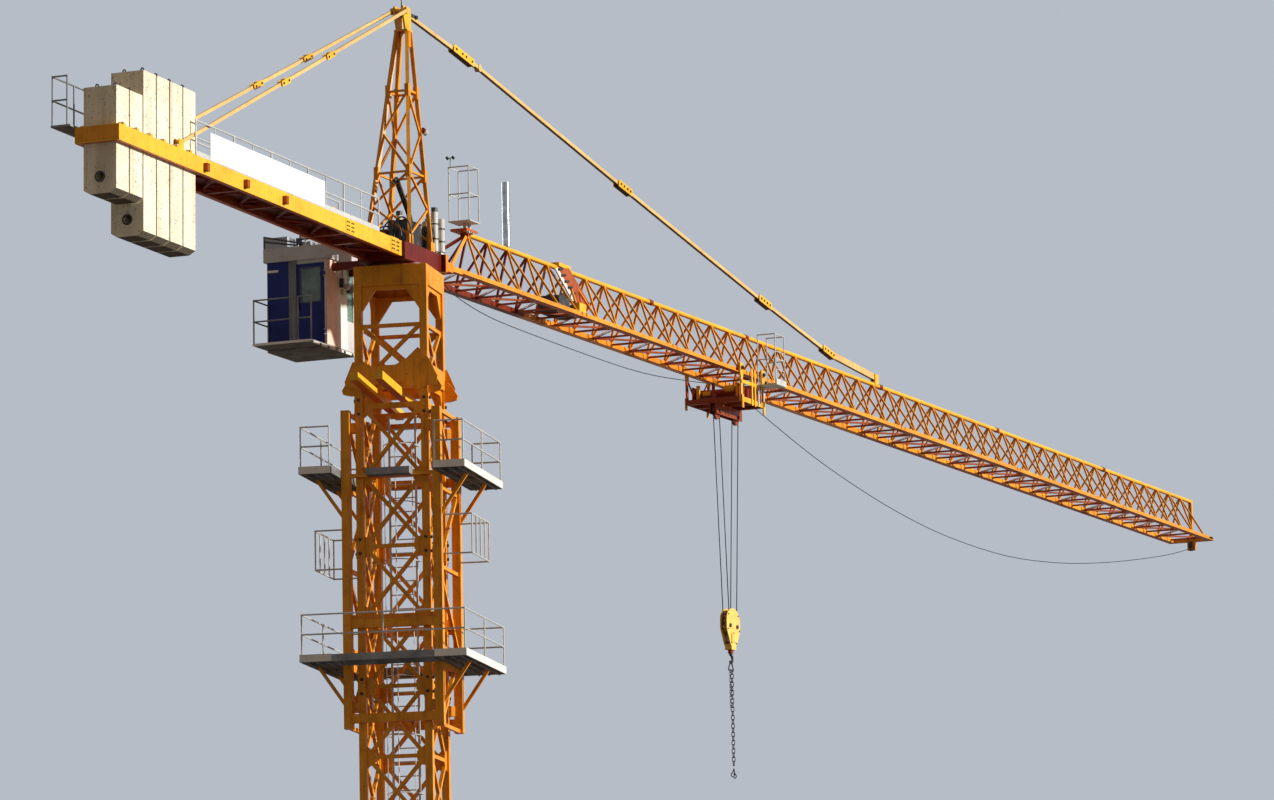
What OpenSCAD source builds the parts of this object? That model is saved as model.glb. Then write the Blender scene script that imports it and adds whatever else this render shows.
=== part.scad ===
// Hammerhead tower crane, half-size model
// Millimetres, +Z up, +X along the jib. The origin is the middle of the base's underside.

/* [Base] */
// Height of the crossed base beams
base_h = 350; // [250:10:400]
// Length of each base beam from tip to tip
base_span = 2400; // [1700:50:3200]
// Width of the base beams' flanges
base_w = 160; // [120:5:200]
// Thickness of the flanges and foot plates
base_plate_t = 20; // [12:1:30]
// Thickness of the base beams' webs
base_web_t = 16; // [8:1:30]
// Side of the square foot plates
foot_w = 340; // [300:10:400]
// Diameter of the anchor bolts' circle in each foot plate
anchor_pcd = 300; // [280:5:330]
// Diameter of the anchor holes
anchor_d = 28; // [16:1:36]

/* [Mast] */
// Width of the square mast over its legs
mast_w = 800; // [700:10:900]
// Width of the square mast legs
leg_w = 80; // [60:2:100]
// Number of mast sections above the foot section
bays = 7; // [5:1:8]
// Height of one mast section
bay_h = 1500; // [1400:10:1600]
// Crossed panels in one mast section
panels_per_bay = 2; // [1:1:3]
// Crossed panels in the foot section
foot_panels = 1; // [1:1:2]
// Width of the lacing bars across their length
lace_w = 40; // [28:1:50]
// Thickness of the lacing bars
lace_t = 36; // [20:1:44]
// Reach of the corner plates from the legs
gusset_w = 95; // [60:5:120]
// Height of the corner plates at the leg
gusset_h = 230; // [160:5:280]
// Angle from the jib to the mast's faces
mast_turn = 10.8; // [0:0.1:20]
// Distance between the ladder's stiles
ladder_w = 290; // [180:5:320]
// Distance of the ladder's middle from the mast's axis, across the mast
ladder_off = 50; // [-80:5:80]
// Spacing of the ladder's rungs
rung_pitch = 150; // [120:5:175]

/* [Slewing support] */
// Height of the laced frame between the mast and the slewing box
support_h = 1305; // [1200:5:1400]
// Height of the slewing box
box_h = 220; // [180:5:280]
// Radius of the slewing ring
ring_r = 330; // [280:5:380]
// Height of each half of the slewing ring
ring_h = 24; // [18:1:32]
// Running gap between the halves of the ring
ring_gap = 0.3; // [0.2:0.1:3]
// Width of the two box beams that cross the support
jack_w = 90; // [60:5:110]

/* [Climbing cage] */
// Width of the cage over its legs
cage_w = 1090; // [1060:10:1160]
// Depth of the cage over its legs
cage_d = 934; // [924:2:1000]
// Width of the cage legs
cage_leg = 92; // [80:2:96]
// Height of the cage
cage_h = 3415; // [3200:5:3500]
// Drop of the cage's top below the mast's top
cage_drop = 35; // [0:5:80]
// Running clearance between the guide shoes and the mast
shoe_gap = 0.3; // [0.3:0.1:3]

/* [Platforms] */
// Distance from the upper platform down from the mast's top
upper_drop = 690; // [600:5:760]
// Distance from the lower platform down from the mast's top
lower_drop = 2700; // [2550:5:2800]
// Outer half width of the platforms
deck_half = 905; // [840:5:960]
// Depth of the platforms' edge beams
deck_t = 75; // [50:5:100]
// Height of the handrails
rail_h = 440; // [400:5:550]
// Diameter of the handrail tubes
rail_d = 18; // [14:1:26]

/* [Slewing top] */
// Height of the turntable
table_h = 190; // [160:5:230]
// Half width of the turntable
table_half = 280; // [260:5:310]
// Front end of the turntable
table_front = 560; // [520:5:580]
// Rear end of the turntable
table_rear = -440; // [-500:5:-420]
// Height of the tower head's laced legs
head_h = 2430; // [2300:10:2500]
// Width of the tower head's legs
head_leg = 40; // [34:1:50]
// Height of the apex plates
apex_h = 270; // [250:5:320]
// Height of the tie pins above the tower head's legs
tie_pin_rise = 220; // [200:5:235]

/* [Jib] */
// Distance from the mast axis to the jib's foot pins
jib_root = 640; // [620:5:680]
// Distance from the mast axis to the jib's tip
jib_tip_x = 27375; // [27200:5:27500]
// Rise angle of the jib in degrees
jib_rise = 0.59; // [0.3:0.01:1]
// Height of the jib's bottom chord line above the slewing box
jib_line = 113; // [105:1:125]
// Height of the jib between chord centres
jib_h = 567; // [520:1:600]
// Half the distance between the bottom chords
jib_half = 278; // [260:1:300]
// Width of the square bottom chords
chord_w = 60; // [50:1:66]
// Diameter of the round top chord
top_chord_d = 56; // [46:1:64]
// Length of one lacing panel
panel_l = 545; // [520:1:560]
// Number of lacing panels
jib_panels = 47; // [46:1:47]
// Distance from the mast axis to the first top node
first_node = 1800; // [1790:1:1820]
// Width of the jib's lacing bars
jib_lace = 22; // [18:1:24]
// Width of the wheel ledge on the bottom chords
ledge_w = 32; // [26:1:36]
// Thickness of the wheel ledge
ledge_t = 10; // [8:1:14]

/* [Counter-jib] */
// Distance from the mast axis to the beams' outer end
counter_l = 6920; // [6800:5:7000]
// Rise angle of the counter-jib in degrees
counter_rise = 0.85; // [0.5:0.01:1.2]
// Depth of the side beams
beam_h = 165; // [140:5:190]
// Width of the side beams
beam_w = 60; // [50:2:70]
// Half width over the side beams
beam_half = 245; // [235:5:255]
// Thickness of one counterweight block
block_t = 265; // [240:5:285]
// Spacing of the counterweight blocks
block_pitch = 290; // [286:1:300]
// Half width of the blocks
block_half = 180; // [150:5:180]
// Length of the bare white panel
banner_l = 2660; // [2400:10:2800]
// Height of the bare white panel
banner_h = 280; // [240:5:320]

/* [Cab] */
// Length of the cab along the jib
cab_l = 700; // [600:10:800]
// Width of the cab
cab_w = 710; // [600:10:760]
// Height of the cab without its roof
cab_h = 945; // [900:5:1000]
// Distance from the mast axis to the cab's near side
cab_y = 815; // [790:5:860]
// Place of the cab's rear wall along the jib
cab_x = -100; // [-160:5:-40]
// Height of the light band round the cab's roof
fascia_h = 150; // [100:5:180]
// Thickness of the cab's walls
wall_t = 25; // [16:1:32]
// Width of the doorway
door_w = 330; // [300:5:360]
// Depth of the landing behind the cab
landing_d = 375; // [350:5:420]

/* [Trolley and hook] */
// Place of the trolley along the jib
trolley_x = 9300; // [8000:10:12000]
// Length of the trolley frame
trolley_l = 750; // [700:10:800]
// Diameter of the trolley's wheels
wheel_d = 90; // [70:2:100]
// Drop from the jib's bottom chord line to the hook block's top
block_drop = 2830; // [2000:10:4000]
// Length of the hook block's plates
hook_plate_l = 420; // [380:5:460]
// Radius of the trolley's and the hook block's sheaves
sheave_r = 90; // [80:1:95]
// Diameter of the hoist rope
rope_d = 12; // [8:1:14]
// Length of the chain sling below its ring
sling_l = 1290; // [1100:10:1500]

/* [Hidden] */
$fn = 32;
eps = 0.3;

mast_half = mast_w / 2;
mast_in = mast_half - leg_w;
panel_count = bays * panels_per_bay + foot_panels;
panel_h = bay_h / panels_per_bay;
mast_top = base_h + panel_count * panel_h;
support_top = mast_top + support_h;
box_top = support_top + box_h;
table_z = box_top + 2 * ring_h + ring_gap;
table_top = table_z + table_h;
head_top = table_top + head_h;
tie_pin_z = head_top + tie_pin_rise;
jib_z = box_top + jib_line;

orange = [0.85, 0.45, 0.10];
yellow = [0.93, 0.68, 0.16];
steel_grey = [0.55, 0.57, 0.60];
pale = [0.85, 0.85, 0.83];
concrete = [0.78, 0.74, 0.66];
navy = [0.07, 0.09, 0.30];
black = [0.08, 0.08, 0.09];

// Flat and round bars

// One bar in the drawing plane, carried past both ends by over
module strut(a, b, w, over = 0) {
    v = b - a;
    translate(a)
        rotate(atan2(v[1], v[0]))
            translate([-over, -w / 2])
                square([norm(v) + 2 * over, w]);
}

// A bar of w by d between two points, w upright
module bar(a, b, w, d) {
    v = b - a;
    translate(a)
        rotate([0, acos(v[2] / norm(v)), atan2(v[1], v[0])])
            translate([-w / 2, -d / 2, 0])
                cube([w, d, norm(v)]);
}

// A tube drawn as a bar of eight sides between two points
module pipe(a, b, d, sides = 8) {
    v = b - a;
    translate(a)
        rotate([0, acos(v[2] / norm(v)), atan2(v[1], v[0])])
            cylinder(d = d, h = norm(v), $fn = sides);
}

// A pin across the Y axis
module y_pin(at, r, length) {
    translate(at)
        rotate([90, 0, 0])
            cylinder(r = r, h = length, center = true);
}

// Crossed panels between two legs, with a rail at each level and corner plates
module cross_panels(span, height, count, w, t) {
    intersection() {
        cube([span, height * count, t]);
        union() {
            for (i = [0 : count - 1]) {
                linear_extrude(t)
                    strut([0, i * height], [span, (i + 1) * height], w, w);
                linear_extrude(t)
                    strut([span, i * height], [0, (i + 1) * height], w, w);
            }
            for (i = [0 : count]) {
                translate([0, i * height - w / 2, 0])
                    cube([span, w, t]);
                linear_extrude(t)
                    gusset_pair(span, i * height);
            }
        }
    }
}

// The corner plates of one level
module gusset_pair(span, level) {
    for (side = [0, 1]) {
        translate([side * span, level])
            mirror([side, 0])
                polygon([
                    [0, -gusset_h / 2], [gusset_w, -gusset_h / 5],
                    [gusset_w, gusset_h / 5], [0, gusset_h / 2]
                ]);
    }
}

// A sheet of thickness t lying on XY, turned upright across X and centred on t
module upright_x(x, z, t) {
    translate([x - t / 2, 0, z])
        rotate([90, 0, 90])
            children();
}

// A sheet of thickness t lying on XY, turned upright across Y and centred on t
module upright_y(y, z, t) {
    translate([0, y + t / 2, z])
        rotate([90, 0, 0])
            children();
}

// A flat drawing made t thick and turned upright across X
module stand_x(x, z, t) {
    upright_x(x, z, t)
        linear_extrude(t)
            children();
}

// A flat drawing made t thick and turned upright across Y
module stand_y(y, z, t) {
    upright_y(y, z, t)
        linear_extrude(t)
            children();
}

module mast_frame() {
    rotate([0, 0, mast_turn])
        children();
}

// Base

module base_beam() {
    web_h = base_h - 2 * base_plate_t;
    translate([-base_span / 2, -base_w / 2, 0])
        cube([base_span, base_w, base_plate_t]);
    translate([-base_span / 2, -base_w / 2, base_h - base_plate_t])
        cube([base_span, base_w, base_plate_t]);
    translate([-base_span / 2, -base_web_t / 2, base_plate_t])
        cube([base_span, base_web_t, web_h]);
}

module foot_plate() {
    foot_at = base_span / 2 - foot_w / 2;
    translate([foot_at, 0, 0]) {
        difference() {
            translate([-foot_w / 2, -foot_w / 2, 0])
                cube([foot_w, foot_w, base_plate_t]);
            for (turn = [45 : 90 : 315]) {
                rotate(turn)
                    translate([anchor_pcd / 2, 0, -1])
                        cylinder(d = anchor_d, h = base_plate_t + 2);
            }
        }
    }
}

module base_cross() {
    color(orange)
        mast_frame()
            for (turn = [0 : 90 : 270]) {
                rotate(turn + 45) {
                    foot_plate();
                    if (turn < 180) {
                        base_beam();
                    }
                }
            }
}

// Mast

module mast_legs(z, h) {
    for (side = [-1, 1]) {
        translate([-leg_w / 2, side * (mast_half - leg_w / 2) - leg_w / 2, z])
            cube([leg_w, leg_w, h]);
    }
}

module mast_face(z, height, count) {
    translate([mast_half - leg_w / 2, 0, 0]) {
        mast_legs(z, height * count);
        upright_x(0, z, lace_t)
            translate([-mast_in, 0, 0])
                cross_panels(2 * mast_in, height, count, lace_w, lace_t);
    }
}

module mast_side(z, height, count) {
    upright_y(mast_half - leg_w / 2, z, lace_t)
        translate([-mast_in, 0, 0])
            cross_panels(2 * mast_in, height, count, lace_w, lace_t);
}

module mast_front() {
    color(orange)
        mast_frame()
            mirror([1, 0, 0])
                mast_face(base_h, panel_h, panel_count);
}

module mast_rear() {
    color(orange)
        mast_frame()
            mast_face(base_h, panel_h, panel_count);
}

module mast_left() {
    color(orange)
        mast_frame()
            mast_side(base_h, panel_h, panel_count);
}

module mast_right() {
    color(yellow)
        mast_frame()
            mirror([0, 1, 0])
                mast_side(base_h, panel_h, panel_count);
}

module mast_ladder() {
    ladder_x = mast_in - 60;
    stile = 22;
    run = mast_top - base_h;
    color(pale)
        mast_frame()
            translate([0, ladder_off, 0]) {
                for (side = [-1, 1]) {
                    translate([ladder_x - stile / 2, side * ladder_w / 2 - stile / 2, base_h])
                        cube([stile, stile, run]);
                }
                for (level = [rung_pitch : rung_pitch : run - 1]) {
                    translate([ladder_x, 0, base_h + level])
                        rotate([90, 0, 0])
                            cylinder(d = 14, h = ladder_w, center = true, $fn = 6);
                }
                for (bay = [1 : bays]) {
                    for (side = [-1, 1]) {
                        translate([ladder_x, side * (ladder_w / 2 + 4) - 4, base_h + bay * bay_h - panel_h - 10])
                            cube([mast_in + (leg_w - lace_t) / 2 - ladder_x, 8, 20]);
                    }
                }
            }
}

// Slewing support

// Lower edge of the support's deep plates above the mast
plate_low = 185;

// One laced side of the support: a deep plate below, crossed bars and a gusseted portal under the box
module support_lacing() {
    span = 2 * mast_in;
    h = support_h;
    plate_high = 280;
    bevel = 60;
    portal = h - 430;
    haunch_low = h - 270;
    haunch = 150;
    lip = 45;
    linear_extrude(lace_t)
        polygon([
            [0, lace_w], [bevel, plate_low], [span - bevel, plate_low], [span, lace_w],
            [span, plate_high], [0, plate_high]
        ]);
    linear_extrude(lace_t)
        polygon([
            [0, haunch_low], [haunch, h - lip], [span - haunch, h - lip], [span, haunch_low], [span, h], [0, h]
        ]);
    for (level = [0, portal - lace_w / 2]) {
        translate([0, level, 0])
            cube([span, lace_w, lace_t]);
    }
    intersection() {
        cube([span, h, lace_t]);
        union() {
            linear_extrude(lace_t)
                strut([0, plate_high], [span, portal], lace_w, lace_w);
            linear_extrude(lace_t)
                strut([span, plate_high], [0, portal], lace_w, lace_w);
        }
    }
}

// The flared ears that the climbing cage hooks under
module support_ear() {
    polygon([
        [0, 130], [0, 370], [40, 350], [95, 280], [150, 190], [135, 150], [60, 130]
    ]);
}

module support_face() {
    translate([mast_half - leg_w / 2, 0, 0]) {
        mast_legs(mast_top, support_h);
        upright_x(0, mast_top, lace_t)
            translate([-mast_in, 0, 0])
                support_lacing();
        for (side = [0, 1]) {
            mirror([0, side, 0])
                stand_x(0, mast_top, lace_t)
                    translate([mast_half, 0])
                        support_ear();
        }
    }
}

module support_side() {
    upright_y(mast_half - leg_w / 2, mast_top, lace_t)
        translate([-mast_in, 0, 0])
            support_lacing();
}

module support_front() {
    color(orange)
        mast_frame()
            mirror([1, 0, 0])
                support_face();
}

module support_rear() {
    color(orange)
        mast_frame()
            support_face();
}

module support_left() {
    color(orange)
        mast_frame()
            support_side();
}

module support_right() {
    color(yellow)
        mast_frame()
            mirror([0, 1, 0])
                support_side();
}

module slew_box() {
    plate = 20;
    color(orange)
        mast_frame() {
            difference() {
                translate([-mast_half, -mast_half, support_top])
                    cube([mast_w, mast_w, box_h]);
                translate([0, 0, support_top - 1])
                    cylinder(r = 190, h = box_h + 2);
                translate([-mast_half + plate, -mast_half + plate, support_top - 1])
                    cube([mast_w - 2 * plate, mast_w - 2 * plate, box_h - plate + 1]);
            }
            difference() {
                translate([0, 0, box_top - 1])
                    cylinder(r = ring_r, h = ring_h + 1);
                translate([0, 0, box_top - 2])
                    cylinder(r = 190, h = ring_h + 4);
            }
        }
}

// Two box beams that slope through the support under its front and rear plates
module jacking_beams() {
    slope = 3.6;
    length = 2000;
    out = 872;
    color(yellow)
        mast_frame()
            for (y = [-78, 191]) {
                translate([-(mast_half - leg_w / 2 + lace_t / 2), y, mast_top + plate_low - eps])
                    rotate([0, slope, 0])
                        translate([-out, -jack_w / 2, -jack_w])
                            cube([length, jack_w, jack_w]);
            }
}

// Climbing cage

cage_half = cage_w / 2;
cage_in = cage_half - cage_leg;
cage_end = cage_d / 2;
cage_end_in = cage_end - cage_leg;
cage_z1 = mast_top - cage_drop;
cage_z0 = cage_z1 - cage_h;
cage_tie_z = cage_z0 + 0.3133 * cage_h;
joist_x = cage_end - cage_leg / 2;

module cage_side() {
    panels = 4;
    step = cage_h / panels;
    for (side = [-1, 1]) {
        translate([side * joist_x - cage_leg / 2, cage_in, cage_z0])
            cube([cage_leg, cage_leg, cage_h]);
        for (level = [cage_z0 + 180, cage_tie_z + 40, cage_z1 - 240]) {
            mirror([side < 0 ? 1 : 0, 0, 0])
                translate([0, 0, level])
                    guide_shoe();
        }
        for (z = [lower_z, upper_z]) {
            deck_strut(side * joist_x, z);
        }
    }
    upright_y(cage_half - cage_leg / 2, cage_z0, lace_t) {
        for (i = [0 : panels]) {
            level = i == 0 ? 0 : i == panels ? cage_h - lace_w : i * step - lace_w / 2;
            translate([-cage_end_in, level, 0])
                cube([2 * cage_end_in, lace_w, lace_t]);
        }
        for (i = [0 : panels - 1]) {
            mirror([i % 2, 0, 0])
                cage_diagonal(i * step + lace_w, (i + 1) * step - lace_w);
        }
    }
    translate([-cage_end_in, cage_half - cage_leg / 2 - lace_t / 2, lower_z - 120])
        cube([2 * cage_end_in, lace_t, 80]);
}

// A slanted bar between the cage's legs, cut upright at both ends
module cage_diagonal(low, high) {
    h = lace_w / 2 * norm([2 * cage_end_in, high - low]) / (2 * cage_end_in);
    linear_extrude(lace_t)
        polygon([
            [-cage_end_in, low - h], [cage_end_in, high - h], [cage_end_in, high + h], [-cage_end_in, low + h]
        ]);
}

// The pad that runs on a mast leg, with its bracket to the cage leg
module guide_shoe() {
    pad = mast_half + shoe_gap;
    bite = 10;
    linear_extrude(110)
        polygon([
            [mast_in + bite, pad], [mast_half - 2, pad], [cage_end_in + 30, cage_in + bite],
            [cage_end_in - 20, cage_in + bite], [mast_in + bite, pad + 30]
        ]);
}

// A slanted strut from under a platform's edge to the cage leg
module deck_strut(x, z) {
    intersection() {
        bar([x, deck_half - 60, z - deck_t + 30], [x, cage_half - 30, z - 520], 34, 34);
        translate([x - 50, cage_half - 1, z - 640])
            cube([100, deck_half, 640 - deck_t - eps]);
    }
}

// A guard of tubes that stands out from the side of the cage
module guard_hoop() {
    reach = 315;
    rise = 420;
    uprights = 5;
    half = joist_x - 36;
    for (level = [0, rise]) {
        for (x = [-half, half]) {
            pipe([x, 0, level], [x, reach, level], rail_d);
        }
        pipe([-half, reach, level], [half, reach, level], rail_d);
    }
    for (i = [0 : uprights - 1]) {
        x = half * (2 * i / (uprights - 1) - 1);
        pipe([x, reach, 0], [x, reach, rise], rail_d);
    }
}

module cage_left() {
    color(orange)
        mast_frame()
            cage_side();
}

module cage_right() {
    color(yellow)
        mast_frame()
            mirror([0, 1, 0])
                cage_side();
}

// Frame bars across the cage: the front stays open above for new mast sections, but for a light deck bar
module cage_ties() {
    deep = 60;
    bar_h = 95;
    top_h = 60;
    light_h = 40;
    low_levels = [cage_z0 + 60, cage_tie_z];
    module tie_bar(side, z, h) {
        translate([side * (cage_end - deep / 2) - deep / 2, -cage_in, z])
            cube([deep, 2 * cage_in, h]);
    }
    color(orange)
        mast_frame() {
            for (z = low_levels) {
                tie_bar(-1, z, bar_h);
                tie_bar(1, z, bar_h);
            }
            tie_bar(-1, upper_z - deck_t, light_h);
            tie_bar(1, upper_z - bar_h, bar_h);
            tie_bar(1, cage_z1 - bar_h, top_h);
        }
}

// Platforms round the cage

upper_z = mast_top - upper_drop;
lower_z = mast_top - lower_drop;

module deck_plate(x0, y0, x1, y1, z, joists = []) {
    plate = 12;
    edge = 14;
    translate([x0, y0, z - plate])
        cube([x1 - x0, y1 - y0, plate]);
    for (x = joists) {
        translate([x - edge, y0, z - deck_t])
            cube([2 * edge, y1 - y0, deck_t]);
    }
    difference() {
        translate([x0, y0, z - deck_t])
            cube([x1 - x0, y1 - y0, deck_t]);
        translate([x0 + edge, y0 + edge, z - deck_t - 1])
            cube([x1 - x0 - 2 * edge, y1 - y0 - 2 * edge, deck_t + 2]);
    }
}

module upper_platform() {
    end_half = 240;
    color(steel_grey)
        mast_frame()
            for (side = [0, 1]) {
                mirror([0, side, 0])
                    deck_plate(-deck_half + 30, cage_half, deck_half - 30, deck_half, upper_z, [-joist_x, joist_x]);
                mirror([side, 0, 0])
                    deck_plate(cage_end, -end_half, cage_end + 150, end_half, upper_z);
            }
}

module lower_platform() {
    color(steel_grey)
        mast_frame()
            for (side = [0, 1]) {
                mirror([0, side, 0])
                    deck_plate(-deck_half, cage_half, deck_half, deck_half, lower_z, [-joist_x, joist_x]);
                mirror([side, 0, 0])
                    deck_plate(cage_end, -cage_half, deck_half, cage_half, lower_z);
            }
}

// A run of handrail: posts, top rail and knee rail through the points
module handrail(points, h, d) {
    for (i = [0 : len(points) - 1]) {
        pipe(points[i], points[i] + [0, 0, h], d);
    }
    for (i = [0 : len(points) - 2]) {
        for (level = [h - d / 2, h / 2]) {
            pipe(points[i] + [0, 0, level], points[i + 1] + [0, 0, level], d);
        }
    }
}

module upper_rails() {
    y0 = cage_half + 30;
    y1 = deck_half - rail_d;
    x1 = deck_half - 30 - rail_d;
    color(pale)
        mast_frame()
            for (side = [0, 1]) {
                mirror([0, side, 0]) {
                    handrail([
                        [-x1, y0, upper_z], [-x1, y1, upper_z], [0, y1, upper_z],
                        [x1, y1, upper_z], [x1, y0, upper_z]
                    ], rail_h, rail_d);
                    translate([0, cage_half, cage_z0 + (side == 0 ? 0.504 : 0.537) * cage_h])
                        guard_hoop();
                }
            }
}

module lower_rails() {
    c = deck_half - rail_d;
    color(pale)
        mast_frame()
            handrail([
                [-c, -c, lower_z], [-c, 0, lower_z], [-c, c, lower_z], [0, c, lower_z], [c, c, lower_z],
                [c, 0, lower_z], [c, -c, lower_z], [0, -c, lower_z], [-c, -c, lower_z]
            ], rail_h, rail_d);
}

// Turntable and tower head

module turntable() {
    ear_t = 22;
    pin_r = 25;
    color(orange) {
        difference() {
            translate([0, 0, table_z - ring_h])
                cylinder(r = ring_r, h = ring_h + 1);
            translate([0, 0, table_z - ring_h - 1])
                cylinder(r = 190, h = ring_h + 3);
        }
        difference() {
            translate([table_rear, -table_half, table_z])
                cube([table_front - table_rear, 2 * table_half, table_h]);
            translate([0, 0, table_z - 1])
                cylinder(r = 190, h = table_h + 2);
        }
        for (side = [-1, 1]) {
            for (ear = [-1, 1]) {
                translate([table_front - 60, side * jib_half + ear * (chord_w / 2 + ear_t / 2 + eps) - ear_t / 2, jib_z - 50])
                    cube([jib_root - table_front + 110, ear_t, 100]);
            }
            y_pin([jib_root, side * jib_half, jib_z + jib_root * tan(jib_rise)], pin_r, chord_w + 2 * ear_t + 2 * eps);
            translate([table_front - 60, side * jib_half - chord_w / 2 - ear_t, table_z])
                cube([60, chord_w + 2 * ear_t, table_h]);
        }
        for (arm = [40, 470]) {
            translate([arm, table_half, table_z + 40])
                cube([60, cab_y - table_half, 80]);
        }
    }
}

module slew_motors() {
    color(black)
        for (y = [-150, 150]) {
            translate([400, y, table_top]) {
                cylinder(d = 130, h = 120);
                cylinder(d = 100, h = 300);
            }
        }
}

// Leg line of the tower head: sx is -1 at the rear and 1 at the front
function head_x(sx, t) = sx < 0 ? -262 + t * 420 : 293 - t * 44;
function head_y(sy, t) = sy * (256 - t * 197);
function head_pt(sx, sy, t) = [head_x(sx, t), head_y(sy, t), table_top + t * head_h];

module tower_head() {
    levels = [0.04, 0.19, 0.34, 0.53, 0.72];
    bar_d = 22;
    plate_low = 0.93;
    color(orange) {
        intersection() {
            translate([-mast_w / 2, -mast_w / 2, table_top])
                cube([mast_w, mast_w, head_h]);
            for (sx = [-1, 1]) {
                for (sy = [-1, 1]) {
                    bar(head_pt(sx, sy, -0.03), head_pt(sx, sy, 1.03), head_leg, head_leg);
                }
            }
        }
        for (i = [2, 4]) {
            for (s = [-1, 1]) {
                bar(head_pt(-1, s, levels[i]), head_pt(1, s, levels[i]), bar_d, bar_d);
                bar(head_pt(s, -1, levels[i]), head_pt(s, 1, levels[i]), bar_d, bar_d);
            }
        }
        for (i = [0 : len(levels) - 2]) {
            first = i % 2 == 0 ? -1 : 1;
            for (s = [-1, 1]) {
                bar(head_pt(first, s, levels[i]), head_pt(-first, s, levels[i + 1]), bar_d, bar_d);
                bar(head_pt(s, first, levels[i]), head_pt(s, -first, levels[i + 1]), bar_d, bar_d);
            }
        }
        for (s = [-1, 1]) {
            stand_y(head_y(s, (1 + plate_low) / 2), table_top, 14)
                polygon([
                    [head_x(-1, plate_low), plate_low * head_h], [head_x(1, plate_low), plate_low * head_h],
                    [head_x(1, 1), head_h], [head_x(-1, 1), head_h]
                ]);
        }
    }
}

rear_pin = 110;
front_pin = 225;
apex_pin_r = 20;

module head_apex() {
    plate = 20;
    x0 = head_x(-1, 1) - 30;
    x1 = head_x(1, 1) + 30;
    color(yellow) {
        translate([x0, -head_y(1, 1) - head_leg / 2, head_top])
            cube([x1 - x0, 2 * head_y(1, 1) + head_leg, plate]);
        for (y = [-50, 50]) {
            stand_y(y, head_top + plate, plate)
                polygon([
                    [x0 + 5, 0], [x1 - 5, 0], [front_pin + 50, tie_pin_rise - plate],
                    [front_pin + 30, apex_h - plate], [rear_pin - 30, apex_h - plate],
                    [rear_pin - 50, tie_pin_rise - plate]
                ]);
        }
        y_pin([front_pin, 0, tie_pin_z], apex_pin_r, 100 + plate);
        y_pin([rear_pin, 0, tie_pin_z], apex_pin_r, 200);
    }
}

// Ties from the apex to the counter-jib and to the jib

apex_rear = [rear_pin, 0, tie_pin_z];
apex_front = [front_pin, 0, tie_pin_z];
lug_gap = 2;

// A tie of flat bars, with wide eyes at its joints and a thin one at its end
module tie(points, w, d, eye) {
    last = len(points) - 1;
    for (i = [0 : last - 1]) {
        bar(points[i], points[i + 1], w, d);
    }
    for (i = [1 : last]) {
        y_pin(points[i], eye, i == last ? d + lug_gap : d + 16);
    }
}

counter_anchor_x = -5625;
counter_pin_r = 12;
counter_tie_t = 24;
counter_anchor = counter_pt(counter_anchor_x, beam_h + 60) + [0, beam_half - beam_w / 2, 0];

// A point of the counter-jib's own frame, at y = 0
function counter_pt(x, z) = [
    x * cos(counter_rise) + z * sin(counter_rise), 0, table_z + 20 - x * sin(counter_rise) + z * cos(counter_rise)
];

function between(a, b, t) = a + (b - a) * t;

module counter_tie() {
    start = apex_rear + [0, 85, 0];
    difference() {
        union() {
            tie([start, between(start, counter_anchor, 0.36), between(start, counter_anchor, 0.56), counter_anchor],
                36, counter_tie_t, 34);
            y_pin(start, 38, counter_tie_t + lug_gap);
        }
        y_pin(apex_rear, apex_pin_r + eps, 400);
        y_pin(counter_anchor, counter_pin_r + eps, 100);
    }
}

module counter_tie_near() {
    color(yellow)
        mirror([0, 1, 0])
            counter_tie();
}

module counter_tie_far() {
    color(yellow)
        counter_tie();
}

tie_end_x = 14425;
tie_end_lift = 98;
tie_end_pin_r = 16;
jib_tie_t = 40;
tie_end = jib_pt(tie_end_x, jib_h + tie_end_lift);

// The straight line between the tie's pins, which the tie's joints hang above or below
function tie_line_z(x) = tie_pin_z + (x - front_pin) * (tie_end[2] - tie_pin_z) / (tie_end[0] - front_pin);

module jib_tie() {
    joints = [for (j = [[2165, 24], [6250, -66], [10605, -139], [12745, -149]]) [j[0], 0, tie_line_z(j[0]) + j[1]]];
    color(yellow) {
        difference() {
            union() {
                tie([apex_front, joints[0], joints[1], joints[2], joints[3], tie_end], jib_tie_t, jib_tie_t, 42);
                bar(joints[3], tie_end, 2 * jib_tie_t, jib_tie_t);
                y_pin(apex_front, 44, 76);
            }
            y_pin(apex_front, apex_pin_r + eps, 200);
            y_pin(tie_end, tie_end_pin_r + eps, 100);
        }
    }
}

// Counter-jib

module counter_pose() {
    translate([0, 0, table_z + 20])
        rotate([0, counter_rise, 0])
            children();
}

counter_start = -table_rear + 4;

module counter_frame() {
    lug_t = 12;
    cross = [1250, 1740, 3315, 4215, 5120];
    color(yellow)
        counter_pose() {
            for (side = [-1, 1]) {
                translate([-counter_l, side * (beam_half - beam_w / 2) - beam_w / 2, 0])
                    cube([counter_l - counter_start, beam_w, beam_h]);
                translate([counter_anchor_x, side * (beam_half - beam_w / 2), beam_h]) {
                    for (y = [-lug_gap - counter_tie_t / 2 - lug_t, lug_gap + counter_tie_t / 2]) {
                        translate([-50, y, -1])
                            cube([100, lug_t, 101]);
                    }
                    y_pin([0, 0, 60], counter_pin_r, counter_tie_t + 2 * lug_gap + 2 * lug_t);
                }
            }
            for (x = cross) {
                translate([-x - 30, -beam_half + beam_w, 10])
                    cube([60, 2 * (beam_half - beam_w), 60]);
            }
            translate([-counter_l - 60, -beam_half, 0])
                cube([60, 2 * beam_half, beam_h]);
        }
}

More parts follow.
